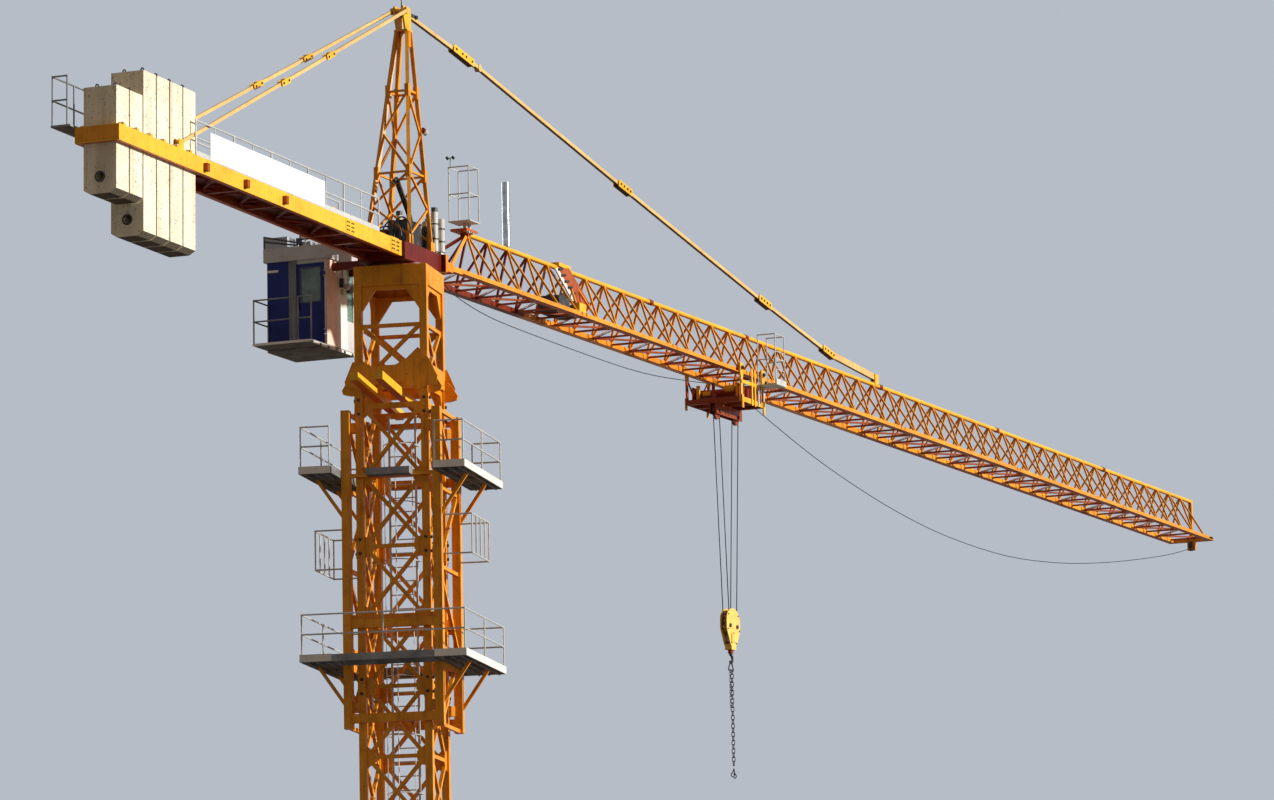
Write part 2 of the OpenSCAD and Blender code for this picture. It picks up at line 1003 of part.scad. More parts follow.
module counter_deck() {
    plate = 12;
    deck_end = counter_l - 6 * block_pitch - 20;
    color(steel_grey)
        counter_pose()
            translate([-deck_end, -beam_half + beam_w + 1, 70])
                cube([deck_end - counter_start - 2, 2 * (beam_half - beam_w) - 2, plate]);
}

module counter_rail() {
    h = 370;
    y = -beam_half + rail_d / 2 + 2;
    posts = [for (x = [1000 : 860 : 5300]) [-x, y, beam_h]];
    color(pale)
        counter_pose()
            handrail(posts, h, rail_d);
}

module counter_rail_near() {
    counter_rail();
}

module counter_rail_far() {
    mirror([0, 1, 0])
        counter_rail();
}

module banner_panel() {
    sheet = 6;
    left_end = 5000;
    color("white")
        counter_pose()
            translate([-left_end, -beam_half - sheet + 2, beam_h + 10])
                cube([banner_l, sheet, banner_h]);
}

// One block with its hanger bars, which rest on the side beams
module counter_block(x, z_low, z_high) {
    chamfer = 70;
    hanger = 34;
    hanger_reach = beam_half - 8;
    translate([-x - block_t, 0, 0])
        difference() {
            union() {
                stand_x(block_t / 2, 0, block_t)
                    polygon([
                        [-block_half + chamfer, z_low], [block_half - chamfer, z_low],
                        [block_half, z_low + chamfer * 0.6], [block_half, z_high],
                        [-block_half, z_high], [-block_half, z_low + chamfer * 0.6]
                    ]);
                translate([block_t * 0.2 - hanger / 2, -hanger_reach, beam_h + eps])
                    cube([hanger, 2 * hanger_reach, hanger]);
            }
            translate([-1, 0, z_low + 170])
                rotate([0, 90, 0])
                    cylinder(d = 80, h = block_t + 2);
        }
}

module counterweights() {
    first_x = counter_l - 4 - block_t;
    color(concrete)
        counter_pose() {
            for (i = [0, 1]) {
                counter_block(first_x - i * block_pitch, -505, 570);
            }
            for (i = [2 : 5]) {
                counter_block(first_x - i * block_pitch, -830, 835);
            }
        }
}

module hoist_winch() {
    x = 3000;
    color(steel_grey)
        counter_pose() {
            for (side = [-1, 1]) {
                translate([-x - 130, side * 160 - 10, 70 + 12 + eps])
                    cube([260, 20, 230]);
            }
            y_pin([-x, 0, 240], 110, 320);
            translate([-x + 150, -80, 70 + 12 + eps])
                cube([220, 160, 130]);
        }
}

// A narrow walkway along the far beam beside the blocks
module end_platform() {
    x0 = -counter_l - 157;
    x1 = -counter_l + 770;
    plate = 20;
    y1 = beam_half + 215;
    z = beam_h + plate;
    rail_y = y1 - 12;
    color(steel_grey)
        counter_pose() {
            translate([x0, beam_half, beam_h])
                cube([x1 - x0, y1 - beam_half, plate]);
            translate([-counter_l, beam_half, 60])
                cube([x1 + counter_l, 8, beam_h - 60 + 1]);
            handrail([
                [x0 + 12, beam_half + 40, z], [x0 + 12, rail_y, z], [(x0 + x1) / 2, rail_y, z],
                [x1 - 12, rail_y, z]
            ], 500, rail_d);
        }
}

// Jib

split_bar = 48;
jib_split = first_node + (split_bar / 2 - 0.5) * panel_l + 34;
lace_end = first_node + (jib_panels - 0.5) * panel_l;
side_l = norm([jib_half, jib_h]);

module jib_pose() {
    translate([0, 0, jib_z])
        rotate([0, -jib_rise, 0])
            children();
}

// The height in the side's own plane at which the lacing meets the top chord
lace_reach = side_l - top_chord_d / 2 - 0.2;

// One lacing bar from its foot up to the top node, which is at the origin's side +x
module side_bar(half, w) {
    slope = side_l / half;
    h = w / 2 * norm([half, side_l]) / side_l;
    crossing = (half - h) * slope;
    head = crossing < lace_reach ? [[0, crossing], [0, lace_reach]] : [[-half + h + lace_reach / slope, lace_reach]];
    linear_extrude(jib_lace)
        polygon(concat(
            [[-half - h, 0], [-half + h, 0]], head, [[-half - h + lace_reach / slope, lace_reach]]
        ));
}

// Lacing bars number first to last, counted from the root, two to a top node
module side_lacing(first, last) {
    for (k = [first : last]) {
        translate([first_node + floor(k / 2) * panel_l, 0, 0])
            mirror([k % 2, 0, 0])
                side_bar(panel_l / 2, jib_lace);
    }
    if (first == 0) {
        translate([first_node, 0, 0])
            side_bar(first_node - jib_root - 80, 1.6 * jib_lace);
    }
}

// One side of the jib: bottom chord with its wheel ledge, and lacing up to the top chord
module jib_side(x0, x1, first, last) {
    tilt = atan2(jib_h, jib_half);
    ledge_start = max(x0, jib_root + 350);
    translate([0, -jib_half, 0]) {
        difference() {
            translate([x0, -chord_w / 2, -chord_w / 2])
                cube([x1 - x0, chord_w, chord_w]);
            y_pin([jib_root, 0, 0], 25 + eps, chord_w + 2);
        }
        translate([ledge_start, -chord_w / 2 - ledge_w, -chord_w / 2])
            cube([x1 - ledge_start, ledge_w + 1, ledge_t]);
        rotate([tilt, 0, 0])
            translate([0, 0, -jib_lace / 2])
                side_lacing(first, last);
    }
}

jib_start = jib_root - 45;

module jib_near_inner() {
    color(orange)
        jib_pose()
            jib_side(jib_start, jib_split, 0, split_bar);
}

module jib_near_outer() {
    color(orange)
        jib_pose()
            jib_side(jib_split, jib_tip_x, split_bar + 1, 2 * jib_panels - 1);
}

module jib_far_inner() {
    color(orange)
        jib_pose()
            mirror([0, 1, 0])
                jib_side(jib_start, jib_split, 0, split_bar);
}

module jib_far_outer() {
    color(orange)
        jib_pose()
            mirror([0, 1, 0])
                jib_side(jib_split, jib_tip_x, split_bar + 1, 2 * jib_panels - 1);
}

module jib_top_chord() {
    chord_start = first_node - 60;
    chord_end = jib_tip_x - 85;
    lug_t = 12;
    color(yellow)
        jib_pose() {
            translate([chord_start, 0, jib_h])
                rotate([0, 90, 0])
                    cylinder(d = top_chord_d, h = chord_end - chord_start);
            for (y = [-jib_tie_t / 2 - lug_gap - lug_t, jib_tie_t / 2 + lug_gap]) {
                translate([tie_end_x - 60, y, jib_h])
                    cube([120, lug_t, tie_end_lift + 40]);
            }
            y_pin([tie_end_x, 0, jib_h + tie_end_lift], tie_end_pin_r, jib_tie_t + 2 * lug_gap + 2 * lug_t);
        }
}

function floor_node(i) = first_node + (i - 0.5) * panel_l;

module jib_floor() {
    inner = jib_half - chord_w / 2;
    h = jib_lace / 2 * norm([panel_l, 2 * inner]) / (2 * inner);
    inset = 6;
    color(orange)
        jib_pose()
            translate([0, 0, -jib_lace / 2])
                for (i = [-1 : jib_panels]) {
                    translate([floor_node(i), 0, 0]) {
                        translate([-jib_lace / 2, -inner, 0])
                            cube([jib_lace, 2 * inner, jib_lace]);
                        if (i >= 0) {
                            mirror([0, i % 2, 0])
                                linear_extrude(jib_lace)
                                    polygon([
                                        [inset - panel_l - h, -inner], [inset - panel_l + h, -inner],
                                        [h - inset, inner], [-h - inset, inner]
                                    ]);
                        }
                    }
                }
}

module jib_tip() {
    inner = jib_half - chord_w / 2;
    frame = 50;
    color(orange)
        jib_pose() {
            translate([jib_tip_x - frame, -inner, -chord_w / 2])
                cube([frame, 2 * inner, chord_w]);
            translate([jib_tip_x - frame, -frame / 2, chord_w / 2])
                cube([frame, frame, jib_h - chord_w / 2 + top_chord_d / 2]);
            translate([jib_tip_x - 85 + 0.2, -frame / 2, jib_h - top_chord_d / 2])
                cube([85, frame, top_chord_d]);
            translate([jib_tip_x - frame, -60, -chord_w / 2 - 120])
                cube([frame, 120, 121]);
        }
}

module trolley_winch() {
    x = 4240;
    base_z = jib_lace / 2 + eps;
    color(black)
        jib_pose() {
            translate([x - 330, -110, base_z])
                cube([660, 220, 20]);
            for (side = [-1, 1]) {
                translate([x - 90, side * 90 - 7, base_z + 19])
                    cube([180, 14, 200]);
            }
            y_pin([x, 0, base_z + 140], 90, 190);
            translate([x + 120, -60, base_z + 19])
                cube([180, 120, 120]);
        }
}

// Railed basket on the jib's first panels
module root_basket() {
    x0 = 1600;
    x1 = 1880;
    half = 130;
    lift = 90;
    z = jib_h + top_chord_d / 2 + eps;
    color(pale)
        jib_pose() {
            translate([x0, -half, z + lift])
                cube([x1 - x0, 2 * half, 10]);
            for (x = [1750, 1840]) {
                translate([x, -20, z])
                    cube([30, 40, lift + 1]);
            }
            handrail([
                [x0 + 10, -half + 10, z + lift], [x1 - 10, -half + 10, z + lift], [x1 - 10, half - 10, z + lift],
                [x0 + 10, half - 10, z + lift], [x0 + 10, -half + 10, z + lift]
            ], 620, 14);
        }
}

module signal_tube() {
    color(pale)
        jib_pose()
            translate([2880, 0, jib_h + top_chord_d / 2 + eps])
                cylinder(d = 85, h = 730);
}

// Cab

cab_z = box_top - 740;
cab_top = cab_z + cab_h;
cab_far = cab_y + cab_w;
cab_front = cab_x + cab_l;
door_y0 = cab_y + wall_t;
door_y1 = door_y0 + door_w;
floor_t = 40;
door_gap = 7;
window_x = 400;
sill_h = 330;

module cab_floor() {
    color(steel_grey)
        translate([cab_x, cab_y, cab_z - floor_t])
            cube([cab_l, cab_w, floor_t]);
}

hinge_y = door_y0 - 3;
hinge_x = cab_x - 10;
knuckle_h = 40;
knuckle_z = [cab_z + 120, cab_z + 760];

module cab_rear_panel() {
    color(navy)
        translate([cab_x, door_y1, cab_z])
            cube([wall_t, cab_far - door_y1, cab_h]);
}

module cab_lintel() {
    lintel_h = 40;
    color(pale)
        translate([cab_x, door_y0, cab_top - lintel_h])
            cube([wall_t, door_w, lintel_h]);
}

module side_wall() {
    difference() {
        translate([cab_x, 0, cab_z])
            cube([cab_l, wall_t, cab_h]);
        translate([cab_x + window_x, -1, cab_z + sill_h])
            cube([cab_l - window_x - 30, wall_t + 2, cab_h - sill_h - 60]);
    }
}

// The near wall carries the door's hinge pins
module cab_near_wall() {
    color(pale) {
        translate([0, cab_y, 0])
            side_wall();
        for (z = knuckle_z) {
            translate([hinge_x, hinge_y, z - 12])
                cylinder(r = 5, h = knuckle_h + 24);
            for (level = [z - 12, z + knuckle_h + 1]) {
                translate([hinge_x - 7, hinge_y - 9, level])
                    cube([18, 16, 11]);
            }
        }
    }
}

module cab_far_wall() {
    color(pale)
        difference() {
            translate([wall_t, cab_far - wall_t, 0])
                side_wall();
            translate([cab_front, cab_far - wall_t - 1, cab_z - 1])
                cube([wall_t + 1, wall_t + 2, cab_h + 2]);
        }
}

module cab_glass() {
    pane = 6;
    color([0.35, 0.50, 0.47, 0.6]) {
        translate([cab_front - pane, cab_y + wall_t, cab_z])
            cube([pane, cab_w - 2 * wall_t, cab_h]);
        translate([cab_x + window_x + eps, cab_y + 8, cab_z + sill_h + eps])
            cube([cab_l - window_x - 30 - 2 * eps, pane, cab_h - sill_h - 60 - 2 * eps]);
        translate([cab_x + window_x + wall_t + eps, cab_far - 8 - pane, cab_z + sill_h + eps])
            cube([cab_l - window_x - 30 - wall_t - 2 * eps, pane, cab_h - sill_h - 60 - 2 * eps]);
    }
}

module cab_roof() {
    over = 30;
    plate = 20;
    band = 12;
    strip_y = 560;
    color(pale)
        difference() {
            union() {
                translate([cab_x - over, cab_y - over, cab_top])
                    cube([cab_l + 2 * over, cab_w + 2 * over, fascia_h]);
                translate([cab_x - over, strip_y, cab_top + plate])
                    cube([band, cab_y - strip_y, fascia_h - plate]);
            }
            translate([cab_x - over + band, cab_y - over + band, cab_top + plate])
                cube([cab_l + 2 * over - 2 * band, cab_w + 2 * over - 2 * band, fascia_h]);
        }
}

module cab_landing() {
    x0 = cab_x - landing_d;
    plate = 20;
    inset = 12;
    z = cab_z - plate;
    post = z + plate;
    color(steel_grey) {
        translate([x0, cab_y, z])
            cube([landing_d, cab_w, plate]);
        handrail([
            [cab_x - inset, cab_far - inset, post], [x0 + inset, cab_far - inset, post],
            [x0 + inset, cab_y + 220, post]
        ], 485, rail_d);
        handrail([
            [x0 + inset, cab_y + 170, post], [x0 + inset, cab_y + inset, post]
        ], 485, rail_d);
    }
}

module cab_door() {
    leaf = 20;
    window_z = cab_z + 480;
    color(navy)
        difference() {
            translate([cab_x, door_y0 + door_gap, cab_z + door_gap])
                cube([leaf, door_w - 2 * door_gap, cab_h - 40 - 2 * door_gap]);
            translate([cab_x - 1, door_y0 + 45, window_z])
                cube([leaf + 2, door_w - 90, 370]);
        }
    color([0.35, 0.50, 0.47, 0.6])
        translate([cab_x + 7, door_y0 + 44, window_z - 1])
            cube([6, door_w - 88, 372]);
    color(black)
        translate([cab_x - 22, door_y1 - door_gap - 25, cab_z + 390])
            cube([23, 12, 90]);
    color(navy)
        for (z = knuckle_z) {
            difference() {
                union() {
                    translate([hinge_x, hinge_y, z])
                        cylinder(r = 9, h = knuckle_h);
                    translate([hinge_x, hinge_y + 4, z])
                        cube([11, 46, knuckle_h]);
                }
                translate([hinge_x, hinge_y, z - 1])
                    cylinder(r = 5.1, h = knuckle_h + 2);
            }
        }
}

// Trolley

trolley_half_l = trolley_l / 2;
wheel_y = jib_half + chord_w / 2 + ledge_w / 2 + 1;
wheel_z = -chord_w / 2 + ledge_t + wheel_d / 2 + eps;
plate_y = jib_half + chord_w / 2 + ledge_w + 6;
plate_t = 14;
beam_z = -380;
sheave_x = 300;
sheave_z = beam_z - 95;

module trolley_frame() {
    color(orange)
        jib_pose()
            translate([trolley_x, 0, 0]) {
                for (side = [0, 1]) {
                    mirror([0, side, 0]) {
                        translate([-trolley_half_l, plate_y, beam_z])
                            cube([trolley_l, plate_t, 60]);
                        for (x = [-trolley_half_l, trolley_half_l - 60]) {
                            translate([x, plate_y, beam_z])
                                cube([60, plate_t, wheel_z - beam_z + 30]);
                            y_pin([x + 30, wheel_y - 1, wheel_z], wheel_d / 2, ledge_w - 8);
                            y_pin([x + 30, wheel_y + 6, wheel_z], 12, ledge_w + 14);
                        }
                    }
                }
                for (x = [-trolley_half_l, -30, trolley_half_l - 60]) {
                    translate([x, -plate_y, beam_z])
                        cube([60, 2 * plate_y, 60]);
                }
                for (y = [-40, 40]) {
                    translate([-trolley_half_l - 40, y - 7, beam_z - 130])
                        cube([trolley_l + 80, 14, 131]);
                }
                for (x = [-sheave_x, sheave_x]) {
                    y_pin([x, 0, sheave_z], sheave_r, 30);
                    y_pin([x, 0, sheave_z], 16, 100);
                }
                for (x = [-trolley_half_l, trolley_half_l - 14]) {
                    translate([x, -20, beam_z + 59])
                        cube([14, 40, 181]);
                }
            }
}

module trolley_basket() {
    y1 = -plate_y - plate_t;
    depth = 250;
    x0 = 150;
    x1 = 470;
    z = -130;
    color(pale)
        jib_pose()
            translate([trolley_x, 0, 0]) {
                translate([x0, y1 - depth, z])
                    cube([x1 - x0, depth, 12]);
                translate([x0, y1 - 14, beam_z + 10])
                    cube([30, 14, z - beam_z]);
                translate([trolley_half_l - 60, y1 - 14, beam_z + 10])
                    cube([30, 14, z - beam_z]);
                handrail([
                    [x0 + 12, y1 - 12, z + 6], [x0 + 12, y1 - depth + 12, z + 6], [x1 - 12, y1 - depth + 12, z + 6],
                    [x1 - 12, y1 - 12, z + 6]
                ], 620, 14);
            }
}

// A point of the jib's own frame, at y = 0
function jib_pt(x, z) = [
    x * cos(jib_rise) - z * sin(jib_rise), 0, jib_z + x * sin(jib_rise) + z * cos(jib_rise)
];

hook_top = jib_pt(trolley_x, 0)[2] - block_drop;
hook_x = jib_pt(trolley_x, sheave_z)[0];
block_sheave_x = 110;
block_sheave_z = -215;

// The hoist rope's four falls, each beside a trolley sheave and the block sheave under it
module hoist_ropes() {
    color(black)
        for (side = [-1, 1]) {
            upper = jib_pt(trolley_x + side * sheave_x, sheave_z);
            lower = [hook_x + side * block_sheave_x, 0, hook_top + block_sheave_z];
            v = (lower - upper) / norm(lower - upper);
            off = (sheave_r + rope_d / 2 + eps) * [v[2], 0, -v[0]];
            for (face = [-1, 1]) {
                pipe(upper + face * off, lower + face * off, rope_d, 6);
            }
        }
}

// Slack ropes of the trolley drive, hung below the jib
function ring_at(p, r) = [for (i = [0 : 7]) p + [0, r * cos(i * 45), r * sin(i * 45)]];

// A smooth curve through the points b and c, with a and d as its neighbours
function curve_at(a, b, c, d, t) =
    0.5 * (2 * b + (c - a) * t + (2 * a - 5 * b + 4 * c - d) * t * t + (3 * b - a - 3 * c + d) * t * t * t);

function smooth_route(route, steps, last) = [
    for (i = [0 : last - 1]) for (k = [0 : steps - 1])
        curve_at(route[max(i - 1, 0)], route[i], route[i + 1], route[min(i + 2, last)], k / steps),
    route[last]
];

module rope_tube(rough, d) {
    route = smooth_route(rough, 4, len(rough) - 1);
    n = len(route);
    sides = 8;
    points = [for (p = route) each ring_at(p, d / 2)];
    faces = concat(
        [[for (i = [sides - 1 : -1 : 0]) i]],
        [[for (i = [0 : sides - 1]) (n - 1) * sides + i]],
        [for (k = [0 : n - 2]) for (i = [0 : sides - 1])
            [k * sides + i, k * sides + (i + 1) % sides, (k + 1) * sides + (i + 1) % sides, (k + 1) * sides + i]]
    );
    polyhedron(points, faces, convexity = 10);
}

inner_route = [
    [996.5, 0, 13248], [1325, 0, 13120], [1650, 0, 13060], [2100, 0, 13010], [2655, 0, 12980],
    [3600, 0, 12970], [4610, 0, 12968], [5500, 0, 12972], [6360, 0, 12985], [7200, 0, 13025],
    [8195, 0, 13110], [8925.8, 0, 13180]
];
outer_route = [
    [9676.2, 0, 13185], [10590, 0, 13010], [12000, 0, 12765], [13450, 0, 12570], [15200, 0, 12400],
    [17070, 0, 12310], [19300, 0, 12330], [21455, 0, 12490], [23500, 0, 12740], [25390, 0, 13030],
    [26500, 0, 13225], [27324.5, 0, 13400]
];

module travel_rope_inner() {
    color(black)
        rope_tube(inner_route, 10);
}

module travel_rope_outer() {
    color(black)
        rope_tube(outer_route, 10);
}

// Hook block, hook and sling

module hook_plate() {
    r = hook_plate_l / 2;
    polygon([
        for (a = [0 : 15 : 180]) [r * cos(a), -150 + 150 * sin(a)],
        [-r, -260], [-90, -450], [90, -450], [r, -260]
    ]);
}

module hook_block() {
    plate = 12;
    color(yellow)
        translate([hook_x, 0, hook_top]) {
            for (y = [-38, 38]) {
                stand_y(y, 0, plate)
                    hook_plate();
            }
            for (x = [-block_sheave_x, block_sheave_x]) {
                y_pin([x, 0, block_sheave_z], sheave_r, 30);
                y_pin([x, 0, block_sheave_z], 16, 100);
            }
            y_pin([0, 0, -40], 14, 88);
            difference() {
                translate([-70, -44, -500])
                    cube([140, 88, crosshead_h]);
                translate([0, 0, -501])
                    cylinder(d = shank_d + 1, h = crosshead_h + 2);
            }
        }
}

shank_d = 34;
crosshead_h = 80;

// The hook turns in the block's crosshead, and its ring carries two chains
module hook_sling() {
    hook_z = hook_top - 500;
    bend_r = 50;
    bend_z = -110;
    link_d = 14;
    ring_z = bend_z - bend_r - shank_d / 2;
    color(black)
        translate([hook_x, 0, hook_z]) {
            translate([0, 0, bend_z + bend_r])
                cylinder(d = shank_d, h = crosshead_h - bend_z - bend_r + 10);
            translate([0, 0, crosshead_h + 0.5])
                cylinder(d = 54, h = 22, $fn = 6);
            translate([0, 0, bend_z])
                rotate([90, 0, 0])
                    rotate([0, 0, 100])
                        rotate_extrude(angle = 250)
                            translate([bend_r, 0])
                                circle(d = shank_d - 4);
            for (x = [-1, 1]) {
                pipe([x * 6, 0, ring_z + 45], [x * 75, 0, ring_z - 70], link_d);
                pipe([x * 25, 0, ring_z - 70], [x * 25, 0, ring_z - 70 - sling_l], 18);
            }
            pipe([-80, 0, ring_z - 70], [80, 0, ring_z - 70], link_d);
        }
}

base_cross();
mast_front();
mast_rear();
mast_left();
mast_right();
mast_ladder();
support_front();
support_rear();
support_left();
support_right();
slew_box();
jacking_beams();
cage_left();
cage_right();
cage_ties();
upper_platform();
upper_rails();
lower_platform();
lower_rails();
turntable();
slew_motors();
tower_head();
head_apex();
counter_tie_near();
counter_tie_far();
jib_tie();
counter_frame();
counter_deck();
counter_rail_near();
counter_rail_far();
banner_panel();
counterweights();
hoist_winch();
end_platform();
jib_top_chord();
jib_near_inner();
jib_near_outer();
jib_far_inner();
jib_far_outer();
jib_floor();
jib_tip();
trolley_winch();
root_basket();
signal_tube();
cab_floor();
cab_rear_panel();
cab_lintel();
cab_near_wall();
cab_far_wall();
cab_glass();
cab_roof();
cab_landing();
cab_door();
trolley_frame();
trolley_basket();
hoist_ropes();
travel_rope_inner();
travel_rope_outer();
hook_block();
hook_sling();
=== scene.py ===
import math

import bpy
import numpy as np
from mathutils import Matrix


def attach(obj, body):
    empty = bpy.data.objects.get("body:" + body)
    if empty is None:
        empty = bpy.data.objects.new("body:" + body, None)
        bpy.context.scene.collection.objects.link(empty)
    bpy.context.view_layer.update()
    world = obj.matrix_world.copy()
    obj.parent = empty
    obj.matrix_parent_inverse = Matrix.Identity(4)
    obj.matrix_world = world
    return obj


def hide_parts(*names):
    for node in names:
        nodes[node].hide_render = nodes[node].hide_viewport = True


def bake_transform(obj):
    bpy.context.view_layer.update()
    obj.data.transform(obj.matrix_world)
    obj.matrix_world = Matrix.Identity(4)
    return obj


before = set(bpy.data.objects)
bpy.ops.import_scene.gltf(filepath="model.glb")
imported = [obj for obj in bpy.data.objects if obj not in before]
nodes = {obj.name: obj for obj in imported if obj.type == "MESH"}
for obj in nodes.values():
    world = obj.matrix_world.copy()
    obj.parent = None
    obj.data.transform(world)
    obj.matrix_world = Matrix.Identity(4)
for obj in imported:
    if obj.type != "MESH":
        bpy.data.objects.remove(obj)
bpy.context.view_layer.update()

# The view: a long lens far off and close to the ground, which looks up at the slewing top
# from behind the counter-jib's end. It is level to within a degree.

camera_data = bpy.data.cameras.new("view_from_below")
camera_data.sensor_fit = "HORIZONTAL"
camera_data.sensor_width = 36.0
camera_data.lens = 184.35
camera_data.clip_end = 600.0
camera = bpy.data.objects.new("view_from_below", camera_data)
bpy.context.scene.collection.objects.link(camera)
camera_place = (-62.694, -29.061, 0.5215)
yaw, pitch, roll = np.radians([22.766, 9.174, -1.089])
ahead = np.array([math.cos(yaw) * math.cos(pitch), math.sin(yaw) * math.cos(pitch), math.sin(pitch)])
level_right = np.array([math.sin(yaw), -math.cos(yaw), 0.0])
level_up = np.cross(level_right, ahead)
view_right = math.cos(roll) * level_right + math.sin(roll) * level_up
view_up = -math.sin(roll) * level_right + math.cos(roll) * level_up
placing = np.eye(4)
placing[:3, 0] = view_right
placing[:3, 1] = view_up
placing[:3, 2] = -ahead
placing[:3, 3] = camera_place
camera.matrix_world = placing.T.tolist()
bpy.context.scene.camera = camera
bpy.context.scene.view_settings.view_transform = "Standard"

# The trolley's drive ropes: greased steel wire rope of 10 mm, one from the jib's foot to the trolley
# and one from the trolley to the tip. Both hang slack below the jib and are shackled at their ends.


def smooth_line(route, steps):
    """Catmull-Rom: each stretch is the cubic through its two ends whose slopes are half the difference
    of the points on either side, taken at equal steps; the end points are repeated."""
    route = np.asarray(route, float)
    before = np.vstack([route[:1], route[:-2]])
    start = route[:-1]
    end = route[1:]
    after = np.vstack([route[2:], route[-1:]])
    t = (np.arange(steps) / steps)[None, :, None]
    a, b, c, d = (p[:, None, :] for p in (before, start, end, after))
    line = 0.5 * (2 * b + (c - a) * t + (2 * a - 5 * b + 4 * c - d) * t**2 + (3 * b - a - 3 * c + d) * t**3)
    return np.vstack([line.reshape(-1, 3), route[-1:]])


def tube_grid(line, radius, sides, closed=False):
    """A round tube along a line: each ring is radius * (cos a * side + sin a * up), where side and up
    are square to the line's slope. Open tubes get a cap at each end."""
    line = np.asarray(line, float)
    count = len(line)
    if closed:
        slope = np.roll(line, -1, 0) - np.roll(line, 1, 0)
    else:
        slope = np.gradient(line, axis=0)
    slope /= np.linalg.norm(slope, axis=1)[:, None]
    spread = slope.max(0) - slope.min(0) + np.abs(slope.mean(0))
    reference = np.eye(3)[int(np.argmin(spread))]
    side = np.cross(slope, reference)
    side /= np.linalg.norm(side, axis=1)[:, None]
    up = np.cross(side, slope)
    angle = np.arange(sides) * 2 * math.pi / sides
    radius = np.broadcast_to(np.asarray(radius, float), (count,))[:, None, None]
    ring = np.cos(angle)[None, :, None] * side[:, None] + np.sin(angle)[None, :, None] * up[:, None]
    points = (line[:, None] + radius * ring).reshape(-1, 3)
    runs = count if closed else count - 1
    k, i = np.meshgrid(np.arange(runs), np.arange(sides), indexing="ij")
    k2 = (k + 1) % count
    i2 = (i + 1) % sides
    faces = np.stack([k * sides + i, k * sides + i2, k2 * sides + i2, k2 * sides + i], -1).reshape(-1, 4)
    faces = faces.tolist()
    if not closed:
        faces += [list(range(sides))[::-1],
                  [(count - 1) * sides + j for j in range(sides)]]
    return points, faces


def join_parts(parts):
    """Several (points, faces) as one pair."""
    points = []
    faces = []
    total = 0
    for part_points, part_faces in parts:
        points.append(np.asarray(part_points, float))
        faces += [[j + total for j in f] for f in part_faces]
        total += len(part_points)
    return np.vstack(points), faces


def piece_of(name, parts, stand, look, smooth=False):
    """One object from several parts. Its stand is the body it rides, None where it is blended, and the
    rule that takes its points to the shared frame; its look is a slot and a material."""
    body, placed = stand
    slot, finish = look
    points, faces = join_parts(parts)
    if placed:
        points = placed(points)
    mesh = bpy.data.meshes.new(name)
    mesh.from_pydata(points.tolist(), [], faces)
    mesh.update()
    if smooth:
        mesh.shade_smooth()
    piece = bpy.data.objects.new(name, mesh)
    bpy.context.scene.collection.objects.link(piece)
    if body:
        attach(piece, body)
    piece.data.materials.append(finish)
    return piece


class Value:
    """One socket of a material. Arithmetic on it adds Math nodes."""

    def __init__(self, finish, socket):
        self.finish = finish
        self.socket = socket

    def math(self, operation, first, second):
        return self.finish.node("ShaderNodeMath", {"operation": operation}, {0: first, 1: second})

    def __add__(self, other):
        return self.math("ADD", self, other)

    def __radd__(self, other):
        return self.math("ADD", other, self)

    def __sub__(self, other):
        return self.math("SUBTRACT", self, other)

    def __rsub__(self, other):
        return self.math("SUBTRACT", other, self)

    def __mul__(self, other):
        return self.math("MULTIPLY", self, other)

    def __rmul__(self, other):
        return self.math("MULTIPLY", other, self)


class Finish:
    """A material with one Principled shader, and its nodes."""

    def __init__(self, name, **fixed):
        self.material = bpy.data.materials.new(name)
        self.material.use_nodes = True
        self.tree = self.material.node_tree
        self.shader = self.tree.nodes["Principled BSDF"]
        for socket, value in fixed.items():
            self.shader.inputs[socket.replace("_", " ")].default_value = value
        self.place = self.node("ShaderNodeTexCoord", {}, {}, "Object")

    def node(self, kind, settings, inputs, output=0):
        made = self.tree.nodes.new(kind)
        for key, value in settings.items():
            setattr(made, key, value)
        for key, value in inputs.items():
            if isinstance(value, Value):
                self.tree.links.new(value.socket, made.inputs[key])
            else:
                made.inputs[key].default_value = value
        return Value(self, made.outputs[output])

    def stretch(self, x, y, z):
        """Object coordinates times x, y and z."""
        return self.node("ShaderNodeMapping", {}, {"Vector": self.place, "Scale": (x, y, z)})

    def sine(self, value):
        return self.node("ShaderNodeMath", {"operation": "SINE"}, {0: value})

    def place_along(self, axis):
        """Object coordinate 0, 1 or 2 by itself."""
        return self.node("ShaderNodeSeparateXYZ", {}, {"Vector": self.place}, axis)

    def underside_shade_mask(self):
        """0 on walls and tops, 1 on faces that look straight down: the mask where undersides get painted
        shade.
        """
        normal = self.node("ShaderNodeNewGeometry", {}, {}, "Normal")
        return self.ramp(0.0 - self.node("ShaderNodeSeparateXYZ", {}, {"Vector": normal}, 2), 0.45, 0.9)

    def noise(self, scale, detail, at=None):
        return self.node("ShaderNodeTexNoise", {},
                         {"Vector": at or self.place, "Scale": scale, "Detail": detail, "Roughness": 0.55})

    def ramp(self, value, low, high):
        """0 up to low, 1 from high, and straight between."""
        return self.node("ShaderNodeMapRange", {}, {"Value": value, "From Min": low, "From Max": high})

    def mix(self, factor, first, second):
        """The colour first where factor is 0 and second where it is 1."""
        pair = [c if isinstance(c, Value) else (*c, 1.0) for c in (first, second)]
        return self.node("ShaderNodeMix", {"data_type": "RGBA"}, {0: factor, 6: pair[0], 7: pair[1]}, 2)

    def feed(self, socket, value):
        self.tree.links.new(value.socket, self.shader.inputs[socket])

    def bump(self, height, distance):
        self.feed("Normal", self.node("ShaderNodeBump", {},
                                      {"Height": height, "Distance": distance, "Strength": 1.0}))


